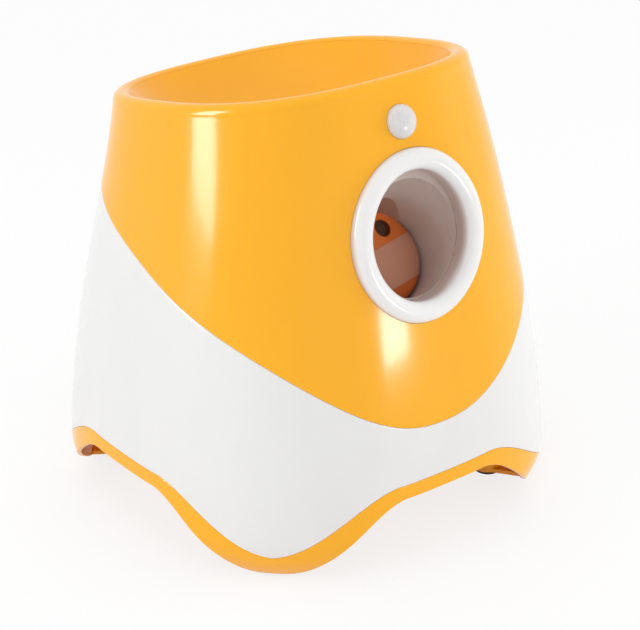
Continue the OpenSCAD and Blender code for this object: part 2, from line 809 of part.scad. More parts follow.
module spring_seat() {
    color("dimgray") along_barrel(seat_s) difference() {
        union() {
            translate([0, 0, -seat_t]) cylinder(h = seat_t, r = rear_flange_r, $fn = 96);
            cylinder(h = guide_h, r = guide_r, $fn = 64);
        }
        translate([-rod_w / 2 - slide_play, -rod_half - slide_play, -seat_t - 1])
            cube([rod_w + 2 * slide_play, 2 * (rod_half + slide_play) + rack_module, seat_t + guide_h + 2]);
        seat_screw_places() translate([0, 0, -seat_t - 1]) cylinder(h = seat_t + 2, r = small_r + loose, $fn = 24);
    }
}

module seat_screws() {
    color("silver") along_barrel(seat_s) seat_screw_places() translate([0, 0, -seat_t]) screw(6.5, small_r, 2.4, 1.6);
}

head_t = 5;
hub_r = 9;
hub_t = 8;
plunger_screw_r = 1.6;
plunger_head_r = 3.6;
plunger_head_t = 2;
strap_sunk = 1;
recess_r = 4.5;
recess_z = dome_h - strap_sunk - plunger_head_t - 0.2;
pocket_r = 5.5;
pocket_turn = 55;

module striker_head() {
    color("orangered") along_barrel(striker_s) difference() {
        union() {
            rotate_extrude($fn = 96) polygon(concat(
                [[0, -head_t], [striker_r - striker_wall, -head_t], [striker_r - striker_wall, -skirt_len],
                 [striker_r, -skirt_len], [striker_r, -2]],
                [for (k = [1:8]) let(t = k / 8) [striker_r * cos(90 * t), -2 + (dome_h + 2) * sin(90 * t)]]
            ));
            translate([0, 0, -head_t - hub_t]) cylinder(h = hub_t + 1, r = hub_r, $fn = 64);
        }
        translate([-rod_w / 2, -rod_half, -head_t - hub_t - 1]) cube([rod_w, 2 * rod_half, hub_t + 1]);
        translate([0, 0, -20]) cylinder(h = 40, r = plunger_screw_r + 0.5, $fn = 32);
        translate([0, 0, recess_z]) cylinder(h = 10, r = recess_r, $fn = 48);
        rotate(strap_turn) strap_channel(strap_w + 0.2, strap_sunk);
        rotate(strap_turn + pocket_turn) translate([0.6 * striker_r, 0, 0.5]) cylinder(h = 12, r = pocket_r, $fn = 48);
    }
}

// Shallow channel across the dome, in which the strap sits
module strap_channel(width, depth) {
    intersection() {
        translate([-striker_r - 2, -strap_down - width / 2, -10]) cube([2 * striker_r + 4, width, 30]);
        difference() {
            translate([0, 0, -4]) cylinder(h = 20, r = striker_r + 2, $fn = 96);
            dome_solid(-depth);
        }
    }
}

// The dome of the face, grown outwards by grow
module dome_solid(grow) {
    rotate_extrude($fn = 96) polygon(concat(
        [[0, -8], [striker_r + grow, -8], [striker_r + grow, -2]],
        [for (k = [1:8]) let(t = k / 8) [(striker_r + grow) * cos(90 * t), -2 + (dome_h + 2 + grow) * sin(90 * t)]]
    ));
}

module striker_strap() {
    color("lightgray") along_barrel(striker_s) rotate(strap_turn) difference() {
        intersection() {
            translate([-striker_r - 2, -strap_down - strap_w / 2, -4]) cube([2 * striker_r + 4, strap_w, 30]);
            dome_solid(strap_t - strap_sunk);
        }
        dome_solid(-strap_sunk);
    }
}

rod_front = striker_s + head_t;
rod_end = gear_s + 1.5 * rack_module;

// Depth-up outline of the rod: plain towards the head, toothed where the sector drives it
function rack_outline() =
    let(
        pitch = PI * rack_module,
        add = 0.9 * rack_module,
        ded = 1.25 * rack_module,
        half = pitch / 4 - backlash / 2,
        slope = tan(pressure),
        first = gear_s - (stroke_teeth + 0.5) * pitch
    )
    concat(
        [[rod_end, -rod_half], [rod_front, -rod_half], [rod_front, rack_line - ded]],
        [
            for (k = [0:stroke_teeth])
            let(c = first + k * pitch)
            each [[c - half - ded * slope, rack_line - ded], [c - half + add * slope, rack_line + add],
                  [c + half - add * slope, rack_line + add], [c + half + ded * slope, rack_line - ded]]
        ],
        [[rod_end, rack_line - ded]]
    );

module plunger_rod() {
    color("white") difference() {
        union() {
            across(-rod_w / 2, rod_w) polygon([for (p = rack_outline()) side_point(p[0], p[1])]);
            along_barrel(rod_front + 24) translate([-rod_w / 2, 0, 0]) cube([rod_w, rod_half, 24]);
        }
        along_barrel(rod_front + 16) cylinder(h = 30, r = plunger_screw_r, $fn = 32);
    }
}

module plunger_screw() {
    color("silver") along_barrel(striker_s - recess_z) rotate([180, 0, 0])
        screw(18, plunger_screw_r, plunger_head_r, plunger_head_t);
}

spring_front = striker_s + head_t;

// Helical spring between the striker's head and its seat
module main_spring() {
    sides = 6;
    per_coil = 14;
    length = seat_s - spring_front - 2 * wire_r - 0.1;
    n = coils * per_coil;
    rise = length / n;
    pts = [
        for (i = [0:n], k = [0:sides - 1])
        let(a = 360 * i / per_coil, r = spring_r + wire_r * cos(360 * k / sides))
        [r * cos(a), r * sin(a), wire_r + 0.05 + i * rise + wire_r * sin(360 * k / sides)]
    ];
    faces = [
        for (i = [0:n - 1], k = [0:sides - 1])
        let(a = i * sides + k, b = i * sides + (k + 1) % sides, c = b + sides, d = a + sides)
        each [[a, d, c], [a, c, b]],
        [for (k = [0:sides - 1]) k],
        [for (k = [sides - 1:-1:0]) n * sides + k]
    ];
    color("silver") along_barrel(seat_s) polyhedron(pts, faces, convexity = 10);
}

// ---- Gearbox ----

plate_low = arch_z + floor_t;
front_top = side_point(seat_s + seat_t, rear_flange_r + 1);
front_low = side_point(seat_s + seat_t, 5 - rear_flange_r);
gearbox_back = 88;
plate_outline = [
    front_top, front_low, [front_low[0], plate_low], [gearbox_back, plate_low], [gearbox_back + 2, 100],
    [motor_c[0] + 12, motor_c[1] + 6], [motor_c[0] + 4, motor_c[1] + 16], [first_c[0] - 8, motor_c[1] + 16]
];
foot_y = [front_low[0] + 8, gearbox_back - 10];
foot_l = 10;
foot_t = 3;
spacer_points = [[front_low[0] + 9, 62], [80, 84], [first_c[0] - 4, motor_c[1] + 8]];
spacer_r = 4;

module gearbox_plate(x) {
    difference() {
        across(x, plate_t) difference() {
            polygon(plate_outline);
            for (p = spacer_points) translate(p) circle(small_r + loose, $fn = 24);
        }
        pin_across(x - 1, plate_t + 2, drive_c, drive_axle_r + 0.02);
        pin_across(x - 1, plate_t + 2, second_c, fine_axle_r + 0.02);
        pin_across(x - 1, plate_t + 2, first_c, fine_axle_r + 0.02);
    }
}

module gearbox_left() {
    x = gap_left - plate_t;
    color("gray") difference() {
        union() {
            gearbox_plate(x);
            for (y = foot_y) translate([x - foot_l, y - foot_l / 2, plate_low]) cube([foot_l + 0.5, foot_l, foot_t]);
        }
        for (y = foot_y) translate([x - foot_l / 2, y, plate_low - 1]) cylinder(h = 6, r = feet_r + loose, $fn = 32);
    }
}

module gearbox_right() {
    x = gap_right;
    color("gray") difference() {
        union() {
            gearbox_plate(x);
            for (y = foot_y) translate([x + plate_t - 0.5, y - foot_l / 2, plate_low]) cube([foot_l + 0.5, foot_l, foot_t]);
        }
        for (y = foot_y) translate([x + plate_t + foot_l / 2, y, plate_low - 1]) cylinder(h = 6, r = feet_r + loose, $fn = 32);
        pin_across(x - 1, plate_t + 2, motor_c, motor_boss_r + loose);
        for (p = motor_screw_points()) pin_across(x - 1, plate_t + 2, p, small_r + loose);
    }
}

function gearbox_foot_points() = [
    for (y = foot_y) [gap_left - plate_t - foot_l / 2, y],
    for (y = foot_y) [gap_right + plate_t + foot_l / 2, y]
];

module gearbox_bosses() {
    for (p = gearbox_foot_points()) if (outside_well(p))
        translate([p[0], p[1], arch_z - 8]) cylinder(h = 8 + floor_t, r = feet_r + 3, $fn = 40);
}

function outside_well(p) = abs(p[0]) > well_w / 2 || abs(p[1] - well_y) > well_l / 2;

module gearbox_foot_holes() {
    for (p = gearbox_foot_points()) translate([p[0], p[1], arch_z - 4]) cylinder(h = 12, r = feet_r + bite, $fn = 32);
}

module gearbox_feet_screws() {
    color("silver") for (p = gearbox_foot_points())
        translate([p[0], p[1], plate_low + foot_t]) rotate([180, 0, 0]) screw(5.4, feet_r, 2.8, 1.8);
}

module gearbox_spacers() {
    color("silver") for (p = spacer_points) difference() {
        pin_across(gap_left, gap_right - gap_left, p, spacer_r);
        pin_across(gap_left - 1, gap_right - gap_left + 2, p, small_r + bite);
    }
}

module gearbox_screws() {
    color("silver") for (p = spacer_points) {
        translate([gap_left - plate_t, p[0], p[1]]) rotate([0, 90, 0]) screw(10, small_r, 2.6, 1.6);
        translate([gap_right + plate_t, p[0], p[1]]) rotate([0, -90, 0]) screw(10, small_r, 2.6, 1.6);
    }
}

// A gear pair on one hub, turning on an axle of radius axle
module compound(c, hub_r, axle, hub_from, hub_to) {
    difference() {
        union() {
            pin_across(hub_from, hub_to - hub_from, c, hub_r);
            children();
        }
        pin_across(hub_from - 5, hub_to - hub_from + 10, c, axle + running);
    }
}

module at_side(c) {
    translate(c) children();
}

module drive_gear() {
    color("ivory") compound(drive_c, 6, drive_axle_r, gap_left + end_play, gap_right - end_play) {
        across(-sector_w / 2, sector_w) at_side(drive_c) gear2d(sector_teeth, rack_module, sector_turn, stroke_teeth + 1);
        across(drive_wheel_x, wheel_w) at_side(drive_c) gear2d(wheel_teeth, wheel_module, drive_wheel_turn);
        across(sector_w / 2 - 0.5, drive_wheel_x - sector_w / 2 + 1) at_side(drive_c) circle(9, $fn = 64);
    }
}

module second_gear() {
    color("gold") compound(second_c, 3.4, fine_axle_r, gap_left + end_play, gap_right - end_play) {
        across(second_pinion_x, pinion_w + 1.5) at_side(second_c) gear2d(pinion_teeth, wheel_module, second_turn);
        across(second_wheel_x, wheel_w) at_side(second_c) gear2d(wheel_teeth, fine_module, second_wheel_turn);
    }
}

module first_gear() {
    color("ivory") compound(first_c, 3, fine_axle_r, gap_left + end_play, gap_right - end_play) {
        across(first_pinion_x, pinion_w + 1) at_side(first_c) gear2d(pinion_teeth, fine_module, first_turn);
        across(first_wheel_x, wheel_w) at_side(first_c) gear2d(wheel_teeth, fine_module, first_wheel_turn);
    }
}

module axle(c, r) {
    color("silver") pin_across(gap_left - plate_t, gap_right - gap_left + 2 * plate_t, c, r);
}

module drive_axle() {
    axle(drive_c, drive_axle_r);
}

module second_axle() {
    axle(second_c, fine_axle_r);
}

module first_axle() {
    axle(first_c, fine_axle_r);
}

motor_x = gap_right + plate_t;
motor_boss_r = 5;

function motor_screw_points() = [for (a = [90, 270]) motor_c + polar(8, a)];

module motor() {
    color("silver") difference() {
        union() {
            pin_across(motor_x, motor_len, motor_c, motor_r);
            pin_across(motor_x - 2, 2.5, motor_c, motor_boss_r);
            pin_across(motor_x + motor_len - 0.5, 2.5, motor_c, motor_boss_r);
            for (a = [45, 225]) translate([motor_x + motor_len - 0.5, motor_c[0] + 9 * cos(a) - 1.5, motor_c[1] + 9 * sin(a) - 0.4])
                cube([5, 3, 0.8]);
        }
        pin_across(motor_x - 3, motor_len, motor_c, shaft_r + running);
        for (p = motor_screw_points()) pin_across(motor_x - 1, 5, p, small_r);
    }
}

module motor_shaft() {
    color("silver") pin_across(motor_pinion_x - 0.5, motor_x + motor_len - 4 - motor_pinion_x, motor_c, shaft_r);
}

module motor_pinion() {
    color("gold") difference() {
        across(motor_pinion_x, pinion_w) at_side(motor_c) gear2d(motor_teeth, fine_module, motor_turn);
        pin_across(motor_pinion_x - 1, pinion_w + 2, motor_c, shaft_r);
    }
}

module motor_screws() {
    color("silver") for (p = motor_screw_points())
        translate([gap_right, p[0], p[1]]) rotate([0, 90, 0]) screw(6, small_r, 2.2, 1.2);
}

// ---- Switches ----

lever_c = [chute_y + chute_outer_r + 4.5, chute_top_z - lever_drop];
lever_tip = [chute_y + barrel_r - 5.5, lever_c[1] - 12];
lever_w = 5;
lever_pin_r = 1;

module lever_slot() {
    translate([-lever_w / 2 - 0.8, chute_y + 20, lever_tip[1] - 7]) cube([lever_w + 1.6, 20, 24]);
}

module ball_lever() {
    color("gray") difference() {
        across(-lever_w / 2, lever_w) {
            strap2d(lever_c, lever_tip, 1.6);
            translate(lever_c) circle(3, $fn = 48);
            translate(lever_tip) circle(2.4, $fn = 48);
        }
        pin_across(-lever_w, 2 * lever_w, lever_c, lever_pin_r + running);
    }
}

module lever_pin() {
    color("silver") pin_across(-lever_w / 2 - 3.5, lever_w + 7, lever_c, lever_pin_r);
}

module lever_switch() {
    cheek_t = 2.8;
    color("black") difference() {
        union() {
            translate([-10, lever_c[0] + 4.5, lever_c[1] - 5]) cube([20, 6.5, 10]);
            for (x = [-lever_w / 2 - cheek_t - 0.5, lever_w / 2 + 0.5])
                translate([x, chute_y + chute_outer_r - 1.2, lever_c[1] - 4]) cube([cheek_t, 9, 8]);
        }
        pin_across(-12, 24, lever_c, lever_pin_r + 0.02);
        translate([0, chute_y, 100]) cylinder(h = 120, r = chute_outer_r, $fn = 96);
    }
}

// Switch on the left plate, with its blade just outside the tips of the sector gear
module stroke_switch() {
    reach = sector_r + rack_module + 5.3;
    color("black") translate([gap_left, drive_c[0] + reach, drive_c[1] - 9]) {
        cube([6.4, 8, 16]);
        translate([1.6, -4, 10]) rotate([20, 0, 0]) cube([3.6, 5, 0.8]);
    }
}

// ---- Sensor ----

sensor_depth = 9;
sensor_post = 10.1;
sensor_board_w = 24;
lens_t = 1.2;
board_t = 1.6;

module sensor_posts() {
    for (x = [-1, 1], y = [-1, 1]) translate([x * sensor_post, y * sensor_post, 0])
        cylinder(h = sensor_depth - wall / 2, r = 1.8, $fn = 32);
}

module sensor_lens() {
    color("whitesmoke") on_skin(0, lens_z, wall) rotate_extrude($fn = 96) polygon(concat(
        [[lens_r, -0.2], [lens_r, wall]],
        [for (t = [10:10:90]) [lens_r * cos(t), wall + lens_dome * sin(t)]],
        [for (t = [90:-10:0]) [(lens_r - lens_t) * cos(t), wall + (lens_dome - lens_t) * sin(t)]],
        [[lens_r - lens_t, -0.2 - lens_t], [lens_r + 2.2, -0.2 - lens_t], [lens_r + 2.2, -0.2]]
    ));
}

module sensor_board() {
    color("green") on_skin(0, lens_z, sensor_depth + board_t) {
        translate([-sensor_board_w / 2, -sensor_board_w / 2, 0]) cube([sensor_board_w, sensor_board_w, board_t]);
        translate([0, 0, board_t - 0.1]) cylinder(h = 4.6, r = 4.6, $fn = 48);
    }
}

// ---- Control panel ----

light_x = [-9, -3, 3, 9];
pillar_x = [4 - panel_w / 2, panel_w / 2 - 4];
pillar_h = 5.9;
light_r = 1.5;
panel_stand = 0.8;
panel_corner = 8;

module control_panel() {
    color("silver") on_skin(180, panel_z, panel_t - panel_stand) difference() {
        union() {
            linear_extrude(panel_t) rounded2d(panel_w, panel_h, panel_corner);
            for (x = pillar_x) translate([x, 0, -pillar_h]) cylinder(h = pillar_h + 0.1, r = 2.4, $fn = 32);
        }
        for (x = [-1, 1]) translate([x * button_x, 0, -1]) cylinder(h = panel_t + 2, r = button_r + fit, $fn = 64);
        for (x = light_x) translate([x, 0, -1]) cylinder(h = panel_t + 2, r = light_r + running, $fn = 32);
        for (x = pillar_x) translate([x, 0, -pillar_h - 1]) cylinder(h = 6, r = board_r + bite, $fn = 24);
    }
}

// Button with a stop collar behind the panel, a rounded edge and a stem towards its switch
module button(x) {
    edge = 1.2;
    side_h = panel_t + 2.6 + button_travel;
    on_skin(180, panel_z, panel_t - panel_stand) translate([x, 0, -2 - button_travel]) {
        cylinder(h = 1.2, r = button_r + 1, $fn = 64);
        rotate_extrude($fn = 64) polygon(concat(
            [[0, 0], [button_r, 0], [button_r, side_h]],
            [for (t = [15:15:90]) [button_r - edge + edge * cos(t), side_h + edge * sin(t)]],
            [[0, side_h + edge]]
        ));
        translate([0, 0, button_travel - 1.6]) cylinder(h = 3, r = 2, $fn = 32);
    }
}

module power_button() {
    color("orange") button(-button_x);
}

module distance_button() {
    color("white") button(button_x);
}

module range_lights() {
    color("lightgreen") on_skin(180, panel_z, panel_t - panel_stand) for (x = light_x)
        translate([x, 0, -3.5]) cylinder(h = panel_t + 4, r = light_r, $fn = 32);
}

panel_board_depth = panel_t - panel_stand + pillar_h;

module panel_board() {
    color("green") on_skin(180, panel_z, panel_board_depth + board_t) difference() {
        union() {
            translate([-panel_w / 2 + 1, 4 - panel_h / 2, 0]) cube([panel_w - 2, panel_h - 8, board_t]);
            for (x = [-1, 1]) translate([x * button_x - 3, -3, board_t - 0.1]) cube([6, 6, 0.8]);
            for (x = light_x) translate([x, 0, board_t - 0.1]) cylinder(h = 2.2, r = light_r, $fn = 24);
        }
        for (x = pillar_x) translate([x, 0, -1]) cylinder(h = board_t + 2, r = board_r + 2 * loose, $fn = 24);
    }
}

module panel_screws() {
    color("silver") on_skin(180, panel_z, panel_board_depth + board_t) for (x = pillar_x)
        translate([x, 0, 0]) screw(6, board_r, 2, 1.2);
}

inlet_wall = 3;
inlet_depth = 10;

// Round socket with a rim on the skin and a pin in its bore
module power_inlet() {
    color("dimgray") on_skin(180, inlet_z) {
        difference() {
            union() {
                translate([0, 0, 0.05]) cylinder(h = 1.4, r = inlet_r + inlet_wall + 1.6, $fn = 48);
                translate([0, 0, -inlet_depth - 3]) cylinder(h = inlet_depth + 4, r = inlet_r + inlet_wall, $fn = 48);
            }
            translate([0, 0, -inlet_depth]) cylinder(h = 20, r = inlet_r, $fn = 48);
        }
        translate([0, 0, -inlet_depth - 0.5]) cylinder(h = inlet_depth - 1, r = 1, $fn = 32);
    }
}

// ---- Main board and speaker ----

board_c = [board_in - base_half, 34];
board_l = 60;
board_w = 42;
board_lift = 6;

function board_corners() = [
    for (x = [-1, 1], y = [-1, 1]) [board_c[0] + x * (board_w / 2 - 4), board_c[1] + y * (board_l / 2 - 4)]
];

module board_posts() {
    for (p = board_corners()) translate([p[0], p[1], plate_low - 0.5]) difference() {
        cylinder(h = board_lift + 0.5, r = board_r + 2.1, $fn = 32);
        translate([0, 0, 1]) cylinder(h = board_lift, r = board_r + bite, $fn = 24);
    }
}

module main_board() {
    color("green") difference() {
        translate([board_c[0], board_c[1], plate_low + board_lift]) {
            translate([-board_w / 2, -board_l / 2, 0]) cube([board_w, board_l, board_t]);
            translate([-8, 10, board_t - 0.1]) cylinder(h = 16, r = 6, $fn = 48);
            translate([6, 6, board_t - 0.1]) cube([10, 14, 9]);
            translate([-12, -14, board_t - 0.1]) cube([18, 12, 2.4]);
            translate([-12, -26, board_t - 0.1]) cube([24, 6, 8]);
        }
        for (p = board_corners()) translate([p[0], p[1], plate_low]) cylinder(h = 40, r = board_r + 2 * loose, $fn = 24);
    }
}

module board_screws() {
    color("silver") for (p = board_corners()) translate([p[0], p[1], plate_low + board_lift + board_t + 0.02])
        rotate([180, 0, 0]) screw(6, board_r, 2, 1.2);
}

speaker_c = [base_half - speaker_in, -30];
cone_r = 0.7 * speaker_r;
magnet_r = 0.6 * speaker_r;

module speaker() {
    color("black") translate([speaker_c[0], speaker_c[1], plate_low]) rotate_extrude($fn = 64) polygon([
        [cone_r, 0], [speaker_r, 0], [speaker_r, 3.5], [magnet_r, 8], [magnet_r, 14], [0, 14], [0, 6],
        [0.4 * speaker_r, 6], [cone_r, 2.5]
    ]);
}

// Slots that let the sound out downwards, their ends on a circle inside the cone's edge
module speaker_grille() {
    reach = cone_r - 1.8;
    translate([speaker_c[0], speaker_c[1], arch_z - 1]) for (k = [-2:2]) linear_extrude(floor_t + 2)
        let(x = k * cone_r / 2.8) strap2d([x, -sqrt(reach * reach - x * x)], [x, sqrt(reach * reach - x * x)], 1.1);
}

// ---- Battery ----

door_t = floor_t - 0.3;
door_screw_z = 1.2;
door_head_r = 3;
cell_z = well_z + door_t + 0.05 + cell_r;
contact_half = 9;

module battery_cells() {
    color("goldenrod") for (i = [-1:1], j = [0, 1])
        translate([i * cell_pitch, well_y - cell_len - 0.2 + j * (cell_len + 0.4), cell_z]) rotate([-90, 0, 0]) {
            cylinder(h = cell_len - 1.8, r = cell_r, $fn = 64);
            cylinder(h = cell_len, r = 3.4, $fn = 40);
        }
}

module battery_contacts() {
    color("silver") for (i = [-1:1], side = [-1, 1])
        translate([i * cell_pitch, well_y + side * (well_in_l / 2 - 0.45), cell_z]) {
            cube([2 * contact_half, 0.8, 2 * contact_half], center = true);
            translate([0, -side * 2.8, 0]) rotate([90, 0, 0]) cylinder(h = 4.8, r = 4, center = true, $fn = 40);
        }
}

module battery_door() {
    grip_w = 20;
    color("darkorange") translate([0, well_y, well_z]) difference() {
        linear_extrude(door_t) {
            rounded2d(well_in_w - 2 * fit, well_in_l - 2 * fit, 4);
            translate([0, well_l / 2]) square([tab_w, 18], center = true);
            translate([0, tab_y]) circle(tab_w / 2, $fn = 48);
        }
        translate([0, tab_y, -1]) cylinder(h = 10, r = feet_r + 2 * loose, $fn = 32);
        translate([0, tab_y, -1]) cylinder(h = 1 + door_screw_z, r = door_head_r + fit, $fn = 48);
        for (y = [-34:4:-14]) translate([-grip_w / 2, y - 0.75, -1]) cube([grip_w, 1.5, 1.6]);
    }
}

module door_screw() {
    color("silver") translate([0, well_y + tab_y, well_z + door_screw_z]) screw(9, feet_r, door_head_r, 1.1);
}

top_shell();
main_housing();
base_tray();
foot_pads();
housing_screws();
hopper_bowl();
mouth_ring();
ring_screws();
launch_barrel();
spring_seat();
seat_screws();
striker_head();
striker_strap();
plunger_rod();
plunger_screw();
main_spring();
gearbox_left();
gearbox_right();
gearbox_spacers();
gearbox_screws();
gearbox_feet_screws();
drive_gear();
drive_axle();
second_gear();
second_axle();
first_gear();
first_axle();
motor();
motor_shaft();
motor_pinion();
motor_screws();
ball_lever();
lever_pin();
lever_switch();
stroke_switch();
sensor_lens();
sensor_board();
control_panel();
power_button();
distance_button();
range_lights();
panel_board();
panel_screws();
power_inlet();
main_board();
board_screws();
speaker();
battery_cells();
battery_contacts();
battery_door();
door_screw();
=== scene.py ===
"""Ball launcher for a dog, dressed and lit for a studio picture.

A bowl on top feeds balls to a sprung striker behind a tilted mouth. The casings, bowl, ring, lens, base
and spring are surfaces worked out from the same formulas as the solid model, on grids fine enough for a
gloss. All other pieces keep the solid model's shape and get a finish.
The mouth faces -Y, +X is to the right of someone looking along +Y, and the floor is z = 0.
Angles round the body are counted from the mouth: 0 is the front, 90 the right and 180 the back.
"""
import math

import bpy
import numpy as np
from mathutils import Matrix, Vector
from mathutils.geometry import tessellate_polygon


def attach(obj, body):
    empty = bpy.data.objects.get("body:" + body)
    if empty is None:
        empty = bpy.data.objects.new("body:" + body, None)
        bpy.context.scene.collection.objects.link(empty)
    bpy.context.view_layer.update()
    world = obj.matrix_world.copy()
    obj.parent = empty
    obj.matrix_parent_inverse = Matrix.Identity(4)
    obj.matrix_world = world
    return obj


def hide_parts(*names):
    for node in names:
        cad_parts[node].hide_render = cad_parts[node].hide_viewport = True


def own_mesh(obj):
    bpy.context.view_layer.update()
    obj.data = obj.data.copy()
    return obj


bl_info = {
    "name": "Dog Ball Launcher",
    "version": (1, 0, 0),
    "blender": (4, 5, 0),
    "location": "3D View > Sidebar > Launcher",
    "description": "Builds and finishes a ball launcher, and sets up a studio round it",
    "category": "Object",
}

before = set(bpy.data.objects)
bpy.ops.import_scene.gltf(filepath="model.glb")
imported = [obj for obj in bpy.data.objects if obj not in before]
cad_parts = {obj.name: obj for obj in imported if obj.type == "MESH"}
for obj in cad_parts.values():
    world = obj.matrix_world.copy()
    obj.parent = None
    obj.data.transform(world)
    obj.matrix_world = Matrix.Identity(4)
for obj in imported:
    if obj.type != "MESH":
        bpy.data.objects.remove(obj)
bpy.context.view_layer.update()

# columns of every grid that goes round the body
COLUMNS = 432
# places that the base shares with what is screwed to it: the gearbox's feet and the main board's posts
GEARBOX_FEET_X, GEARBOX_FEET_Y = (-0.017, 0.034), (-0.00058, 0.078)
BOARD_POSTS_X, BOARD_POSTS_Y = (-0.095, -0.061), (0.008, 0.060)
# each lamp's name, place, the point it faces, width, height, watts, and whether it lights gloss or matt
LAMPS = (
    ("Strip_left", (-1.30, 0.47, 0.60), (-0.1, -0.04, 0.21), 0.50, 0.93, 20.0, "gloss"),
    ("Strip_low", (0.33, -0.86, 0.06), (-0.03, -0.12, 0.06), 0.17, 0.10, 1.2, "gloss"),
    ("Box_left", (-1.5, 0.2, 0.8), (0, 0, 0.15), 0.8, 0.9, 6.5, "matt"),
    ("Box_front", (0.1, -1.9, 0.40), (0, 0, 0.17), 2.2, 0.8, 3.6, "matt"),
    ("Box_over", (0.0, 0.25, 1.9), (0, 0, 0.1), 1.4, 1.4, 7.0, "matt"),
    ("Box_right", (1.4, -0.8, 0.3), (0, 0, 0.18), 0.6, 0.6, 7.0, "matt"),
)
STEEL_NODES = (
    "ring_screws", "seat_screws", "plunger_screw", "gearbox_spacers", "gearbox_screws",
    "gearbox_feet_screws", "drive_axle", "second_axle", "first_axle", "motor_shaft", "motor_screws",
    "lever_pin", "panel_screws", "board_screws", "housing_screws", "door_screw",
)
DARK_NODES = (
    "spring_seat", "gearbox_left", "gearbox_right", "ball_lever", "lever_switch", "stroke_switch", "speaker",
)
GEAR_NODES = ("drive_gear", "second_gear", "first_gear", "plunger_rod")
BOARD_NODES = ("sensor_board", "panel_board", "main_board")


# ---------------------------------------------------------------- settings


def length(name, description, default):
    """A size in metres."""
    return bpy.props.FloatProperty(
        name=name, description=description, default=default, unit="LENGTH", precision=4
    )


def angle(name, description, degrees):
    """An angle, shown in degrees and kept in radians."""
    return bpy.props.FloatProperty(
        name=name, description=description, default=math.radians(degrees), subtype="ANGLE"
    )


def number(name, description, default):
    """A plain number."""
    return bpy.props.FloatProperty(name=name, description=description, default=default)


def colour(name, description, default):
    """A linear colour."""
    return bpy.props.FloatVectorProperty(
        name=name, description=description, default=default, subtype="COLOR", size=3, min=0, max=1
    )


class BodySizes(bpy.types.PropertyGroup):
    """Sizes of the outer skin, its seam and its arches."""

    height: length("Height", "Overall height, at the front of the rim", 0.278)
    base_half: length("Base", "Half width at the floor", 0.1382)
    lower_half: length("Lower", "Half width that the wall leaves the floor towards", 0.1395)
    upper_half: length("Upper", "Half width that the wall reaches the rim from", 0.1096)
    rim_half: length("Rim", "Half width at the rim", 0.0942)
    power: number("Roundness", "Power of the plan: 2 is a circle, more is squarer", 2.65)
    wall: length("Wall", "Thickness of the moulded shells", 0.0026)
    setback: length("Setback", "How far the rim stands back from the middle", 0.009)
    setback_from: length("Setback from", "Height at which the wall starts to lean back", 0.190)
    rim_tilt: angle("Rim tilt", "Tilt of the rim, high side at the front", 10.4)
    lip: length("Lip", "Radius of the rolled lip", 0.0055)
    seam_dip: length("Seam dip", "Height of the seam at the front", 0.0825)
    seam_mid: length("Seam level", "Height that the dip is cut down from", 0.1295)
    seam_climb: length("Seam climb", "Climb of the seam from front to back", 0.079)
    seam_spread: angle("Seam spread", "Half angle of the dip", 37.5)
    seam_power: number("Seam power", "Power of the dip's curve: more has a flatter bottom", 2.3)
    arch: length("Arch", "Height of the arches between the feet", 0.043)
    trim: length("Trim", "Height of the trim above an arch", 0.0085)
    foot_trim: length("Foot trim", "Height of the trim's top edge at a foot", 0.017)
    tuck: length("Tuck", "How far the foot of the wall tucks in", 0.011)
    tuck_height: length("Tuck height", "Height over which it tucks in", 0.028)
    sole: length("Sole", "Height of the wall's foot above the floor", 0.002)
    gap: length("Joint", "Gap along a joint between two shells", 0.0001)
    edge: length("Edge", "Rounding of a shell's edge", 0.0005)
    clearance: length("Clearance", "Play round a piece that sits in a cut-out", 0.0003)
    tongue: length("Tongue", "Height of the tongue above a joint", 0.005)
    tongue_wall: length("Tongue wall", "Thickness of the tongue", 0.0015)
    tongue_root: length("Tongue root", "Depth of the tongue's inner face below the joint", 0.001)
    tongue_foot: length("Tongue foot", "Depth at which the slope under the tongue meets the wall", 0.003)


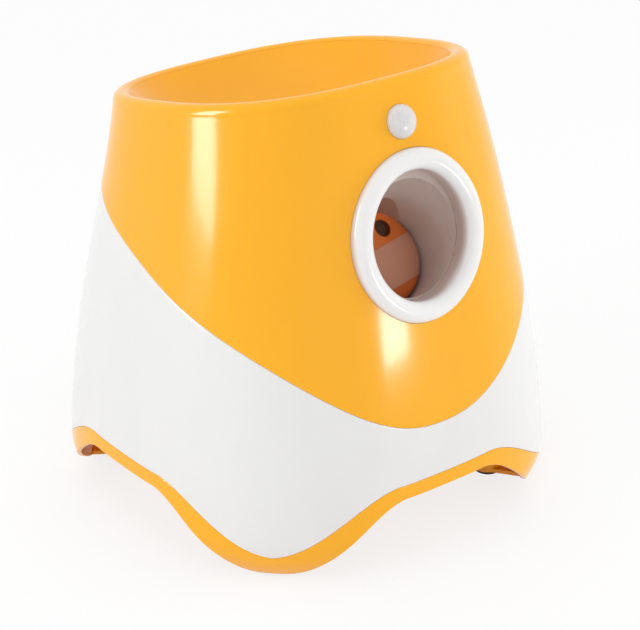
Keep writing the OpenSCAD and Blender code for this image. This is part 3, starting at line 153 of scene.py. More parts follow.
class MouthSizes(bpy.types.PropertyGroup):
    """Sizes of the mouth, striker, spring, lens and bowl, and where painted shade lies in the ring's bore
    and the striker's pocket.
    """

    height: length("Height", "Height of the middle of the mouth", 0.192)
    tilt: angle("Tilt", "Backward tilt of the mouth's face", 13)
    inner: length("Mouth", "Half the width of the mouth inside its ring", 0.034)
    outer: length("Ring", "Half the width of the ring outside", 0.0465)
    rise: length("Rise", "How much farther the ring reaches up and down than to its sides", 0.0036)
    proud: length("Proud", "How far the ring's crown stands out", 0.0035)
    rounding: length("Rounding", "Height of the ring's rounding", 0.005)
    depth: length("Depth", "Depth of the ring behind the wall", 0.010)
    ring_edge: length("Ring edge", "Rounding of the ring's back edges", 0.0006)
    # the next two give where the painted shade in the ring's bore starts, and where it is full, in the
    # liner's colour
    shade_top: length("Bore top", "Height in the ring where it starts to take the liner's colour", 0.001)
    shade_low: length("Bore low", "Depth in the ring where it has the liner's colour", 0.0045)
    launch: angle("Launch", "Upward angle of the barrel", 35)
    striker_depth: length("Striker depth", "Depth of the edge of its face", 0.045)
    pocket_place: bpy.props.FloatVectorProperty(
        name="Pocket place", description="Middle of the pocket in the face, from the middle of its edge",
        default=(0.0072, 0.0154, 0.0015), unit="LENGTH",
    )
    # the reach of the painted shade in the striker's pocket
    pocket_shade: length("Pocket", "Radius of the pocket in the striker's face", 0.0058)
    seat_depth: length("Seat depth", "Depth of the spring's seat", 0.145)
    coils: bpy.props.IntProperty(name="Coils", description="Turns of the main spring", default=8)
    spring: length("Spring radius", "Radius of the main spring's coils", 0.0185)
    wire: length("Wire radius", "Radius of the main spring's wire", 0.0012)
    spring_front: length("Spring front", "Depth of the spring's front behind the face's edge", 0.005)
    spring_play: length("Spring play", "Gap at each end of the spring", 0.00005)
    lens_height: length("Lens height", "Height of the sensor's lens", 0.255)
    lens: length("Lens radius", "Radius of the lens", 0.0098)
    lens_dome: length("Lens dome", "Height of the lens's dome", 0.006)
    lens_wall: length("Lens wall", "Thickness of the lens", 0.0012)
    lens_flange: length("Lens flange", "How far the flange behind the wall reaches out", 0.0022)
    lens_play: length("Lens play", "Gap between the flange and the wall", 0.0002)
    chute: length("Chute", "Distance of the chute in front of the middle", 0.045)
    throat: length("Throat radius", "Inner radius of the bowl's throat", 0.0282)
    throat_height: length("Throat height", "Height of the bowl's floor at the throat", 0.208)
    spigot: length("Spigot", "Thickness of the throat's spigot", 0.0013)
    spigot_depth: length("Spigot depth", "Depth of the throat's spigot", 0.004)
    chute_outer: length("Chute radius", "Outer radius of the chute", 0.0323)
    bowl_wall: length("Bowl wall", "Thickness of the bowl", 0.0022)
    bowl_even: number("Even fall", "Share of the bowl's depth that falls evenly", 0.42)
    bowl_power: number("Bowl curve", "Power of the curve that the rest follows", 3.2)


class BaseSizes(bpy.types.PropertyGroup):
    """Sizes of the base: floor, foot towers, battery well and bosses."""

    floor: length("Floor", "Thickness of the floor and the soles", 0.0025)
    tower_place: length("Tower place", "Distance of the foot towers from the middle", 0.116)
    tower: length("Tower radius", "Outer radius of a foot tower", 0.009)
    pad: length("Pad radius", "Radius of the pocket for a foot pad", 0.0081)
    pad_height: length("Pad height", "Height of the pocket's ceiling", 0.003)
    screw_head: length("Head radius", "Radius of the well for a screw's head", 0.0039)
    screw: length("Screw radius", "Radius of a screw's hole", 0.00215)
    seat: length("Screw seat", "Height of the screws' seats", 0.033)
    well_width: length("Well width", "Width of the battery well inside", 0.083)
    well_length: length("Well length", "Length of the battery well inside", 0.112)
    well_wall: length("Well wall", "Thickness of the battery well's walls", 0.0025)
    well_back: length("Well back", "Distance of the well's middle behind the body's", 0.006)
    well_low: length("Well low", "Height of the well's lower edge", 0.008)
    tab: length("Tab", "Half width of the battery door's tab, with its play", 0.0063)
    tab_back: length("Tab back", "Distance of the door's screw behind the body's middle", 0.0695)
    well_corner: length("Well corner", "Rounding of its corners, and radius of the screw's pillar", 0.006)
    notch: length("Notch", "Height of the tab's notch above the sole", 0.0084)
    pilot: length("Pilot radius", "Radius of a small screw's hole", 0.00143)
    sleeve: length("Sleeve", "Wall of the sleeve round a small screw, and radius of a board's post", 0.003)
    sleeve_low: length("Sleeve low", "Depth of the sleeve's closed end under the floor", 0.008)
    sleeve_cap: length("Sleeve cap", "Thickness of the sleeve's closed end", 0.004)
    post: length("Post", "Height of the board's posts above the floor", 0.006)
    post_hole: length("Post hole", "Radius of the hole in a board's post", 0.00093)
    sunk: length("Sunk", "How far a boss under the floor runs into it", 0.0002)
    speaker: bpy.props.FloatVectorProperty(
        name="Speaker", description="Middle of the sound slots", default=(0.082, -0.030), size=2,
        unit="LENGTH",
    )
    slots: length("Slots", "Reach of the sound slots", 0.0122)
    slot: length("Slot", "Half width of a sound slot", 0.0011)
    slot_pitch: length("Slot pitch", "Distance from slot to slot", 0.005)


class BackSizes(bpy.types.PropertyGroup):
    """Sizes of the openings in the back of the white casing."""

    panel_height: length("Panel height", "Height of the middle of the control panel", 0.128)
    panel_wide: length("Panel width", "Width of the panel's opening", 0.0743)
    panel_tall: length("Panel reach", "Height of the panel's opening", 0.0343)
    panel_corner: length("Panel corner", "Rounding of its corners", 0.008)
    inlet_height: length("Inlet height", "Height of the power inlet", 0.078)
    inlet: length("Inlet radius", "Radius of its opening", 0.0062)


class Finishes(bpy.types.PropertyGroup):
    """Colours of the moulded pieces, and of the painted shade in the striker's pocket."""

    orange: colour("Orange", "Glossy orange of the casing, bowl and trim", (0.955, 0.435, 0.006))
    white: colour("White", "Glossy white of the casing", (0.785, 0.785, 0.78))
    ring: colour("Ring", "Glossy white of the ring", (0.83, 0.825, 0.82))
    striker: colour("Striker", "Deeper orange of the striker", (0.62, 0.135, 0.018))
    # the colour of the painted shade in the striker's pocket
    pocket_shade: colour("Pocket", "Dark of the pocket in the striker's face", (0.06, 0.018, 0.006))
    strap: colour("Strap", "Pale strap across the striker", (0.53, 0.235, 0.145))
    # the liner's grey-brown is also the colour of the painted shade in the ring's bore
    liner: colour("Liner", "Grey-brown of the barrel and chute", (0.57, 0.46, 0.415))
    panel: colour("Panel", "Light grey of the control panel", (0.50, 0.51, 0.52))
    dark: colour("Dark", "Black mouldings inside", (0.018, 0.018, 0.020))
    rubber: colour("Rubber", "Rubber of the foot pads", (0.020, 0.020, 0.021))
    floor: colour("Floor", "Studio floor", (0.90, 0.90, 0.90))


class StudioSettings(bpy.types.PropertyGroup):
    """Camera and lamps."""

    camera_place: bpy.props.FloatVectorProperty(
        name="Camera", description="Where the camera stands", default=(-0.6745, -0.9003, 0.6302),
        unit="LENGTH",
    )
    camera_turn: angle("Camera turn", "Heading of the camera round the object", -37.352)
    camera_rise: angle("Camera rise", "Elevation of the camera", 25.147)
    camera_roll: angle("Camera roll", "Roll of the camera", -0.85)
    focal: number("Focal length", "Focal length in millimetres on a 36 mm sensor", 112.47)
    ambient: number("Ambient", "Strength of the even light all round", 0.75)


# ---------------------------------------------------------------- the outer skin


def half_width(z, s):
    """Half width of the skin: a cubic curve of height from base to rim, drawn in by the foot's tuck.

    The tuck falls with the square of the height, from its full depth at the floor to nothing."""
    t = z / s.height
    wide = (
        (1 - t) ** 3 * s.base_half
        + 3 * (1 - t) ** 2 * t * s.lower_half
        + 3 * (1 - t) * t**2 * s.upper_half
        + t**3 * s.rim_half
    )
    return wide - s.tuck * np.clip(1 - z / s.tuck_height, 0, None) ** 2


def setback(z, s):
    """How far back the plan's middle lies: the square of the height above where it starts."""
    rise = np.clip((z - s.setback_from) / (s.height - s.setback_from), 0, None)
    return s.setback * rise**2


def skin(a, z, inset, s):
    """Points of the skin at angles a and heights z, inset horizontally.

    The plan is a superellipse: |x|^p + |y|^p = r^p, where r is the half width less the inset."""
    a, z = np.broadcast_arrays(a, z)
    plan = (np.abs(np.sin(a)) ** s.power + np.abs(np.cos(a)) ** s.power) ** (-1 / s.power)
    r = (half_width(z, s) - inset) * plan
    return np.stack([r * np.sin(a), setback(z, s) - r * np.cos(a), z + 0 * r], -1)


def rim_height(a, s):
    """Height of the tilted rim plane above the skin at angle a, by repeated approach."""
    slope = math.tan(s.rim_tilt)
    middle = s.height + slope * (s.setback - s.rim_half)
    z = np.full_like(a, s.height)
    for _ in range(12):
        z = middle - slope * skin(a, z, 0, s)[..., 1]
    return z


def seam_height(a, s):
    """Height of the colour seam: a steady climb to the back and a smooth dip at the front."""
    front = np.abs((a + np.pi) % (2 * np.pi) - np.pi)
    dip = (s.seam_mid - s.seam_dip) * np.exp(-((front / s.seam_spread) ** s.seam_power))
    return s.seam_mid + s.seam_climb * (1 - np.cos(a)) / 2 - dip


def smooth(t):
    """A smooth step from 0 to 1."""
    t = np.clip(t, 0, 1)
    return t * t * (3 - 2 * t)


def arch_share(a, flat, full):
    """1 along the crown of an arch and 0 towards a foot; the body has four of each.

    flat and full are degrees from the crown's middle: where the crown ends and where the foot starts."""
    quarter = math.pi / 2
    fold = np.abs((a + quarter / 2) % quarter - quarter / 2)
    return 1 - smooth((fold - math.radians(flat)) / math.radians(full - flat))


def trim_height(a, s):
    """Height of the top edge of the orange trim."""
    share = arch_share(a, flat=14, full=47)
    return s.foot_trim * (1 - share) + (s.arch + s.trim) * share


def arch_height(a, s):
    """Height of the bottom edge of the trim: the arches and the feet."""
    share = arch_share(a, flat=12, full=42)
    return s.sole * (1 - share) + s.arch * share


def spread(low, high, count, power=1.0):
    """count rows of heights from low to high, crowded at the low end where power is over 1."""
    t = np.linspace(0, 1, count) ** power
    return low[:, None] * (1 - t) + high[:, None] * t


def ring_angles():
    """The angles of the columns, in one column."""
    return np.linspace(0, 2 * np.pi, COLUMNS, endpoint=False)


def throat_ring(a, r, z, s, mouth):
    """A circle of the bowl's throat, in a plane tilted like the rim's."""
    x, y = r * np.sin(a), r * np.cos(a)
    return np.stack([x, -mouth.chute - y, z + math.tan(s.rim_tilt) * y], -1)


def lip_turn(a, top, s, mouth):
    """How far the rolled lip turns over at angle a: until it is as steep as the bowl, which starts there."""
    rim = skin(a, top, 2 * s.lip, s)
    throat = throat_ring(a, mouth.throat, mouth.throat_height, s, mouth)
    run = np.hypot(*(rim - throat)[:, :2].T)
    steepness = mouth.bowl_even + (1 - mouth.bowl_even) * mouth.bowl_power
    return np.pi / 2 + np.arctan2(steepness * (rim - throat)[:, 2], run)


def lip_rows(a, top, r, turn, s, count):
    """The rolled lip: an arc of radius r over a given turn, centred one lip radius inside the wall."""
    t = np.linspace(0, 1, count + 1)[None, 1:] * turn[:, None]
    level = skin(a[:, None], top[:, None] + 0 * t, s.lip - r * np.cos(t), s)
    level[..., 2] = top[:, None] + r * np.sin(t)
    return level


def edge_round(a, z, up, s, inset=0.0, count=5):
    """Rows that round an edge off: a quarter circle from the wall to the edge's face.

    up is 1 at a top edge and -1 at a bottom edge."""
    t = np.linspace(0, np.pi / 2, count)[None, :]
    height = z[:, None] - up * s.edge * (1 - np.sin(t))
    return skin(a[:, None], height, inset + s.edge * (1 - np.cos(t)), s)


def foot_rows(a, low, s):
    """The lower end of a shell's wall: across its thickness, then round the outer edge."""
    return np.concatenate([
        skin(a[:, None], low[:, None], s.wall, s),
        edge_round(a, low, -1, s)[:, ::-1][:, :-1],
    ], 1)


def tongue_rows(a, high, s):
    """The tongue above a joint: up its outer face, across its top and down its inner face."""
    shelf = s.wall + s.clearance
    back = shelf + s.tongue_wall
    corners = ((0, shelf), (s.tongue, shelf), (s.tongue, back), (-s.tongue_root, back))
    return np.concatenate([skin(a[:, None], high[:, None] + up, inset, s) for up, inset in corners], 1)


# ---------------------------------------------------------------- meshes


def make_object(name, points, faces, material, body, crease=38):
    """A closed mesh object from arrays of points and of faces, riding on a body."""
    mesh = bpy.data.meshes.new(name)
    points = np.ascontiguousarray(points, np.float32).reshape(-1, 3)
    mesh.from_pydata(points, [], faces)
    mesh.materials.append(material)
    mesh.polygons.foreach_set("use_smooth", np.ones(len(mesh.polygons), bool))
    mesh.update()
    mesh.set_sharp_from_angle(angle=math.radians(crease))
    obj = bpy.data.objects.new(name, mesh)
    bpy.context.scene.collection.objects.link(obj)
    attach(obj, body)
    return obj


def ring_faces(columns, rows):
    """Quads of a grid that closes on itself both ways, round the columns and round the rows."""
    i, j = np.meshgrid(np.arange(columns), np.arange(rows), indexing="ij")
    k, m = (i + 1) % columns, (j + 1) % rows
    return np.stack([i * rows + j, k * rows + j, k * rows + m, i * rows + m], -1).reshape(-1, 4)


def moved(local, place):
    """Points given in the axes of a 4x4 place, in the axes of the whole."""
    return local @ place[:3, :3].T + place[:3, 3]


def axes_of(place):
    """Origin and three axes of a 4x4 place."""
    return place[:3, 3], place[:3, 0], place[:3, 1], place[:3, 2]


def onto_skin(place, u, v, inset, s):
    """Points across u and up v in a frame, moved along its outward axis until they lie on the skin.

    The step is Newton's: the superellipse radius less the half width, over its slope along the axis."""
    origin, across, up, out = axes_of(place)
    w = np.zeros_like(u)

    def miss(w):
        p = origin + u[:, None] * across + v[:, None] * up + w[:, None] * out
        y = p[:, 1] - setback(p[:, 2], s)
        r = (np.abs(p[:, 0]) ** s.power + np.abs(y) ** s.power) ** (1 / s.power)
        return r - half_width(p[:, 2], s) + inset

    step = 1e-5
    for _ in range(8):
        f = miss(w)
        w = w - f * step / (miss(w + step) - f)
    return origin + u[:, None] * across + v[:, None] * up + w[:, None] * out


def round_hole(radius):
    """Signed distance to a circle, with its outward direction."""

    def distance(u, v):
        r = np.hypot(u, v)
        return r - radius, u / r, v / r

    return distance


def oval_hole(half, unit):
    """Signed distance to an oval of four arcs, half being half its width.

    The arcs' centres are (-+3 unit, 0) and (0, +-4 unit), so the arcs meet on lines of slope 4 / 3."""

    def distance(u, v):
        x, y = np.abs(u), np.abs(v)
        side = 3 * y < 4 * (x + 3 * unit)
        du, dv = np.where(side, x + 3 * unit, x), np.where(side, y, y - 4 * unit)
        r = np.hypot(du, dv)
        return r - half - np.where(side, 3 * unit, -2 * unit), du / r * np.sign(u), dv / r * np.sign(v)

    return distance


def slot_hole(width, height, corner):
    """Signed distance to a rounded rectangle, with its outward direction."""

    def distance(u, v):
        x, y = np.abs(u) - (width / 2 - corner), np.abs(v) - (height / 2 - corner)
        outside = np.hypot(np.maximum(x, 0), np.maximum(y, 0))
        d = outside + np.minimum(np.maximum(x, y), 0) - corner
        corner_zone = (x > 0) & (y > 0)
        side = x > y
        gu = np.where(corner_zone, x / np.maximum(outside, 1e-9), np.where(side, 1.0, 0.0))
        gv = np.where(corner_zone, y / np.maximum(outside, 1e-9), np.where(side, 0.0, 1.0))
        return d, gu * np.sign(u), gv * np.sign(v)

    return distance


def shell(name, outer, top, inner, bottom, holes, s, material, body):
    """A thin shell with cut-outs.

    outer and inner are grids of the same shape, top and bottom the rows that join them. A hole is a
    frame on the skin and a signed distance in it. Quads of both walls inside a hole are dropped, the
    points along its edge are moved onto its outline, and the two edges are joined by a wall. A hole
    cuts nothing more than behind_limit behind its frame, which is the other side of the body."""
    behind_limit = 0.03
    m, k = outer.shape[1], top.shape[1]
    grid = np.concatenate([outer, top, inner[:, ::-1], bottom], 1)
    n, rows, _ = grid.shape
    quads = ring_faces(n, rows).reshape(n, rows, 4)
    keep = np.ones((n, rows), bool)
    points = grid.reshape(-1, 3).copy()
    walls = []
    opposite = 2 * m + k - 1
    for place, distance in holes:
        origin, across, up, out = axes_of(place)
        pairs = outer + np.roll(outer, -1, 0)
        rel = pairs[:, :-1] / 4 + pairs[:, 1:] / 4 - origin
        d, _, _ = distance(rel @ across, rel @ up)
        gone = (d < 0) & (rel @ out > -behind_limit)
        keep[:, : m - 1] &= ~gone
        keep[:, opposite - m + 1 : opposite] &= ~gone[:, ::-1]
        padded = np.pad(gone, ((0, 0), (1, 1)))
        below, above = padded[:, :-1], padded[:, 1:]
        left, right = np.roll(gone, 1, 0), gone
        # the hole's border, run so that the hole is always on the same side
        edges = [((i, j), ((i + 1) % n, j)) for i, j in np.argwhere(below & ~above)]
        edges += [(((i + 1) % n, j), (i, j)) for i, j in np.argwhere(~below & above)]
        edges += [((i, j + 1), (i, j)) for i, j in np.argwhere(left & ~right)]
        edges += [((i, j), (i, j + 1)) for i, j in np.argwhere(~left & right)]
        edges = np.array(edges)
        near = edges[..., 0] * rows + edges[..., 1]
        far = edges[..., 0] * rows + opposite - edges[..., 1]
        walls.append(np.stack([near[:, 1], near[:, 0], far[:, 0], far[:, 1]], -1))
        for ids, inset in ((np.unique(near), 0.0), (np.unique(far), s.wall)):
            source = ids if inset == 0.0 else (ids // rows) * rows + opposite - ids % rows
            rel = points[source] - origin
            u, v = rel @ across, rel @ up
            for _ in range(3):
                d, gu, gv = distance(u, v)
                u, v = u - d * gu, v - d * gv
            points[ids] = onto_skin(place, u, v, inset, s)
    faces = np.concatenate([quads[keep]] + walls)
    used, faces = np.unique(faces, return_inverse=True)
    return make_object(name, points[used], faces.reshape(-1, 4).tolist(), material, body)


def turned_points(profile, count):
    """An outline turned about the Z axis: column k is turned by k / count of a full turn."""
    t = np.linspace(0, 2 * np.pi, count, endpoint=False)
    r, z = np.asarray(profile, float).T
    return np.stack([np.outer(np.cos(t), r), np.outer(np.sin(t), r), np.outer(np.ones(count), z)], -1)


def oval_sweep(profile, place, unit, count=56):
    """Points and faces of a closed outline taken round an oval of four arcs; its r counts as half the width.

    A side arc turns about (-+3 unit, 0) with radius r + 3 unit, an end arc about (0, +-4 unit) with
    radius r - 2 unit. Both have count columns."""
    r, z = np.asarray(profile, float).T
    half = math.atan2(4, 3)
    share = np.linspace(-1, 1, count, endpoint=False)[:, None]
    sides, ends = half * share, (np.pi / 2 - half) * share
    quarters = []
    for turn in (0, np.pi):
        reach = r + 3 * unit
        quarters.append((turn, reach * np.cos(sides) - 3 * unit, reach * np.sin(sides)))
        reach = r - 2 * unit
        quarters.append((turn, -reach * np.sin(ends), reach * np.cos(ends) + 4 * unit))
    local = np.concatenate([
        np.stack([x * math.cos(turn), y * math.cos(turn), np.broadcast_to(z, x.shape)], -1)
        for turn, x, y in quarters
    ])
    return moved(local, place), ring_faces(4 * count, len(r))


def circle(x, y, r, count=48):
    """Points of a circle in a plane, one after another against the clock."""
    t = np.linspace(0, 2 * np.pi, count, endpoint=False)
    return np.stack([x + r * np.cos(t), y + r * np.sin(t)], -1)


def plate(loops, low, high):
    """Points and faces of a flat plate: the first loop is its outline, the others are holes in it."""
    loops = [np.asarray(loop, float) for loop in loops]
    for k, loop in enumerate(loops):
        x, y = loop.T
        if (np.sum(x * np.roll(y, -1) - y * np.roll(x, -1)) > 0) == (k > 0):
            loops[k] = loop[::-1]
    flat = np.concatenate(loops)
    n = len(flat)
    cuts = np.array(tessellate_polygon([[Vector((x, y, 0)) for x, y in loop] for loop in loops]))
    p, q, r = (flat[cuts[:, k]] for k in range(3))
    area = (q[:, 0] - p[:, 0]) * (r[:, 1] - p[:, 1]) - (q[:, 1] - p[:, 1]) * (r[:, 0] - p[:, 0])
    cuts[area < 0] = cuts[area < 0][:, ::-1]
    walls, start = [], 0
    for loop in loops:
        i = np.arange(len(loop))
        j = (i + 1) % len(loop)
        walls += np.stack([start + i, start + j, start + j + n, start + i + n], -1).tolist()
        start += len(loop)
    points = np.concatenate([np.c_[flat, np.full(n, low)], np.c_[flat, np.full(n, high)]])
    return points, cuts[:, ::-1].tolist() + (cuts + n).tolist() + walls


def joined(parts):
    """Points and faces of several closed parts as one set."""
    points, faces, start = [], [], 0
    for some, their in parts:
        some = np.asarray(some).reshape(-1, 3)
        points.append(some)
        faces += [[start + k for k in face] for face in their]
        start += len(some)
    return np.concatenate(points), faces


def arc(cx, cy, r, start, end, count):
    """Points of an arc in a profile, angles in degrees."""
    t = np.radians(np.linspace(start, end, count))
    return [(cx + r * np.cos(x), cy + r * np.sin(x)) for x in t]


def place_from(origin, x_axis, y_axis, z_axis):
    """A 4x4 place from an origin and three axes."""
    m = np.eye(4)
    m[:3, 0], m[:3, 1], m[:3, 2], m[:3, 3] = x_axis, y_axis, z_axis, origin
    return m


def mouth_point(body, mouth):
    """Where the mouth's axis meets the skin."""
    return skin(np.array(0.0), np.array(mouth.height), 0.0, body)


def mouth_place(body, mouth):
    """Frame of the mouth: x to the right, z out of the mouth."""
    t = mouth.tilt
    up, out = (0, math.sin(t), math.cos(t)), (0, -math.cos(t), math.sin(t))
    return place_from(mouth_point(body, mouth), (1, 0, 0), up, out)


def barrel_place(body, mouth, depth):
    """Frame at a depth along the barrel: y up across it, z towards the mouth."""
    t = mouth.launch
    out = np.array([0, -math.cos(t), math.sin(t)])
    return place_from(mouth_point(body, mouth) - depth * out, (1, 0, 0), (0, math.sin(t), math.cos(t)), out)


def skin_place(a, z, depth, s):
    """Frame on the skin: z points out of the wall and y up along it."""
    step = 0.001
    low, high = (skin(np.array(a), np.array(z + d), 0.0, s) for d in (-step, step))
    reach_low, reach_high = np.hypot(*low[:2]), np.hypot(*high[:2])
    lean = math.atan2(reach_low - reach_high, 2 * step)
    radial = np.array([math.sin(a), -math.cos(a), 0])
    out = radial * math.cos(lean) + np.array([0, 0, math.sin(lean)])
    up = np.array([0, 0, math.cos(lean)]) - radial * math.sin(lean)
    point = skin(np.array(a), np.array(z), 0.0, s) - depth * out
    return place_from(point, np.cross(up, out), up, out)


# ---------------------------------------------------------------- materials


class Shader:
    """A principled surface and its nodes, on Object coordinates."""

    def __init__(self, name, base, roughness, **sockets):
        self.material = bpy.data.materials.new(name)
        self.material.use_nodes = True
        self.tree = self.material.node_tree
        self.surface = self.tree.nodes["Principled BSDF"]
        self.surface.inputs["Base Color"].default_value = (*base, 1)
        self.surface.inputs["Roughness"].default_value = roughness
        for key, value in sockets.items():
            self.surface.inputs[key.replace("_", " ")].default_value = value
        self.base = base
        self.coords = self.add("ShaderNodeTexCoord").outputs["Object"]

    def add(self, kind, **values):
        """A node, with its properties or input values set."""
        node = self.tree.nodes.new(kind)
        for key, value in values.items():
            if hasattr(node, key):
                setattr(node, key, value)
            else:
                node.inputs[key.replace("_", " ")].default_value = value
        return node

    def link(self, out, into):
        """Joins an output to an input."""
        self.tree.links.new(out, into)

    def noise(self, scale, detail=3.0, roughness=0.5, stretch=None):
        """Noise over the object, from 0 to 1, stretched along the axes where asked."""
        node = self.add("ShaderNodeTexNoise", Scale=scale, Detail=detail)
        node.inputs["Roughness"].default_value = roughness
        coords = self.coords
        if stretch:
            mapping = self.add("ShaderNodeMapping")
            mapping.inputs["Scale"].default_value = stretch
            self.link(coords, mapping.inputs["Vector"])
            coords = mapping.outputs["Vector"]
        self.link(coords, node.inputs["Vector"])
        return node.outputs["Fac"]

    def ramp(self, value, low, high, out_low, out_high):
        """Maps low..high of a value to out_low..out_high, clamped."""
        node = self.add("ShaderNodeMapRange")
        ends = {"From Min": low, "From Max": high, "To Min": out_low, "To Max": out_high}
        for key, end in ends.items():
            node.inputs[key].default_value = end
        self.link(value, node.inputs["Value"])
        return node.outputs["Result"]

    def vary_roughness(self, value):
        """Drives the roughness with a value."""
        self.link(value, self.surface.inputs["Roughness"])
        return self

    def blend(self, factor, other):
        """Blends what colours the surface so far towards another colour by a factor."""
        painted = self.surface.inputs["Base Color"]
        node = self.add("ShaderNodeMix", data_type="RGBA")
        first, second = (i for i in node.inputs if i.type == "RGBA")
        first.default_value, second.default_value = (*self.base, 1), (*other, 1)
        for link in painted.links:
            self.link(link.from_socket, first)
        self.link(factor, node.inputs["Factor"])
        self.link(node.outputs[2], painted)
        return self

    def bump(self, value, strength, distance):
        """Raises the surface with a value."""
        node = self.add("ShaderNodeBump", Strength=strength, Distance=distance)
        self.link(value, node.inputs["Height"])
        self.link(node.outputs["Normal"], self.surface.inputs["Normal"])
        return self


def shade(c, factor):
    """A colour made darker or lighter."""
    return tuple(min(1.0, x * factor) for x in c)


def polished(name, base, gloss=0.16):
    """Shader of polished moulded plastic: an even gloss with faint flow marks and handling haze."""
    m = Shader(name, base, gloss, IOR=1.5, Specular_IOR_Level=0.34, Coat_Weight=0.12, Coat_Roughness=0.06)
    haze = m.noise(9.0, 4.0, 0.6)
    m.vary_roughness(m.ramp(haze, 0.3, 0.75, gloss * 0.85, gloss * 1.45))
    m.blend(m.ramp(m.noise(22.0, 3.0, 0.5, (1.0, 1.0, 0.35)), 0.35, 0.7, 0.0, 0.5), shade(base, 0.94))
    return m.bump(m.noise(900.0, 2.0, 0.4), 0.02, 0.0001)


def textured(name, base, roughness, grain, depth):
    """Shader of spark-textured moulded plastic with a fine grain."""
    m = Shader(name, base, roughness, IOR=1.48)
    m.vary_roughness(m.ramp(m.noise(14.0, 4.0), 0.3, 0.75, roughness * 0.85, roughness * 1.15))
    m.blend(m.ramp(m.noise(35.0, 4.0), 0.4, 0.7, 0.0, 0.6), shade(base, 0.86))
    return m.bump(m.noise(grain, 3.0, 0.6), depth, 0.00012)


def glossy_plastic(name, base, gloss=0.16):
    """Polished moulded plastic."""
    return polished(name, base, gloss).material


def satin_plastic(name, base, roughness=0.45, grain=1400.0, depth=0.12):
    """Textured moulded plastic."""
    return textured(name, base, roughness, grain, depth).material


def bore_shaded_plastic(name, base, bore_shade, place, low, high):
    """Polished plastic with painted shade in a bore: darkened to a shade colour between two heights on a
    place's Z axis.
    """
    m = polished(name, base)
    along = m.add("ShaderNodeVectorMath", operation="DOT_PRODUCT")
    along.inputs[1].default_value = tuple(place[:3, 2])
    m.link(m.coords, along.inputs[0])
    start = float(place[:3, 3] @ place[:3, 2])
    return m.blend(m.ramp(along.outputs["Value"], start + low, start + high, 1.0, 0.0), bore_shade).material


def pocket_shaded_plastic(name, base, dark, middle, reach):
    """Textured plastic with painted shade in a pocket: darkened within a reach of a point."""
    m = textured(name, base, 0.35, 1200.0, 0.05)
    # the dark colour is painted shade: full near the middle and fading out at the reach
    away = m.add("ShaderNodeVectorMath", operation="DISTANCE")
    away.inputs[1].default_value = tuple(middle)
    m.link(m.coords, away.inputs[0])
    return m.blend(m.ramp(away.outputs["Value"], 0.92 * reach, 1.05 * reach, 1.0, 0.0), dark).material


def turned_steel(name, base=(0.62, 0.62, 0.63), roughness=0.28):
    """Plated steel with fine drawn lines."""
    m = Shader(name, base, roughness, Metallic=1.0)
    lines = m.noise(500.0, 2.0, 0.5, (1.0, 0.12, 1.0))
    m.vary_roughness(m.ramp(lines, 0.3, 0.7, roughness * 0.75, roughness * 1.3))
    m.blend(m.ramp(m.noise(60.0, 4.0), 0.4, 0.7, 0.0, 0.5), shade(base, 0.8))
    m.bump(lines, 0.05, 0.00005)
    return m.material


def circuit_board(name):
    """Green solder mask with paler tracks under it."""
    base = (0.012, 0.105, 0.040)
    m = Shader(name, base, 0.3, IOR=1.5)
    brick = m.add("ShaderNodeTexBrick", Scale=160.0)
    m.link(m.coords, brick.inputs["Vector"])
    brick.inputs["Mortar Size"].default_value = 0.03
    m.blend(m.ramp(brick.outputs["Fac"], 0.2, 0.8, 0.0, 1.0), (0.035, 0.21, 0.08))
    m.vary_roughness(m.ramp(m.noise(80.0), 0.3, 0.7, 0.24, 0.38))
    m.bump(brick.outputs["Fac"], 0.15, 0.00008)
    return m.material


def frosted_lens(name):
    """Milky moulded lens with faint rings of facets inside."""
    base = (0.88, 0.86, 0.86)
    m = Shader(name, base, 0.22, IOR=1.49, Transmission_Weight=0.15, Subsurface_Weight=0.25)
    m.surface.inputs["Subsurface Radius"].default_value = (0.004, 0.004, 0.004)
    m.surface.inputs["Subsurface Scale"].default_value = 1.0
    cells = m.add("ShaderNodeTexVoronoi", Scale=330.0)
    m.link(m.coords, cells.inputs["Vector"])
    m.blend(m.ramp(cells.outputs["Distance"], 0.1, 0.6, 0.0, 0.35), (0.66, 0.65, 0.66))
    m.vary_roughness(m.ramp(m.noise(60.0), 0.3, 0.7, 0.18, 0.3))
    m.bump(m.noise(700.0), 0.03, 0.0001)
    return m.material


def rubber(name, base):
    """Matt rubber with a fine pebble."""
    m = Shader(name, base, 0.75, IOR=1.45)
    m.vary_roughness(m.ramp(m.noise(120.0, 4.0), 0.3, 0.7, 0.65, 0.9))
    m.blend(m.ramp(m.noise(50.0, 3.0), 0.4, 0.7, 0.0, 0.7), shade(base, 2.0))
    m.bump(m.noise(1500.0, 2.0), 0.3, 0.00015)
    return m.material


MATERIALS = {}


def finish_of(key, maker, *colours, **settings):
    """A finish, made once and shared by the pieces that have it."""
    if key not in MATERIALS:
        MATERIALS[key] = maker(key, *(tuple(c) for c in colours), **settings)
    return MATERIALS[key]


def orange_gloss(context):
    """The orange of the casing, bowl and trim."""
    return finish_of("orange_gloss", glossy_plastic, context.scene.launcher_finishes.orange)


def white_gloss(context):
    """The white of the casing."""
    return finish_of("white_gloss", glossy_plastic, context.scene.launcher_finishes.white)


def spring_wire():
    """The bright steel of the springs."""
    return finish_of("spring_wire", turned_steel, (0.7, 0.7, 0.71), roughness=0.2)


def dress(node, material, crease=35):
    """Gives a solid-model node a finish, and smooth shading broken at its edges."""
    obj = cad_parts[node]
    obj.data.materials.clear()
    obj.data.materials.append(material)
    obj.data.polygons.foreach_set("material_index", np.zeros(len(obj.data.polygons), np.int32))
    obj.data.polygons.foreach_set("use_smooth", np.ones(len(obj.data.polygons), bool))
    weld = obj.modifiers.new("Weld", "WELD")
    weld.merge_threshold = 1e-6
    split = obj.modifiers.new("Edges", "EDGE_SPLIT")
    split.split_angle = math.radians(crease)
    return obj


# ---------------------------------------------------------------- operators


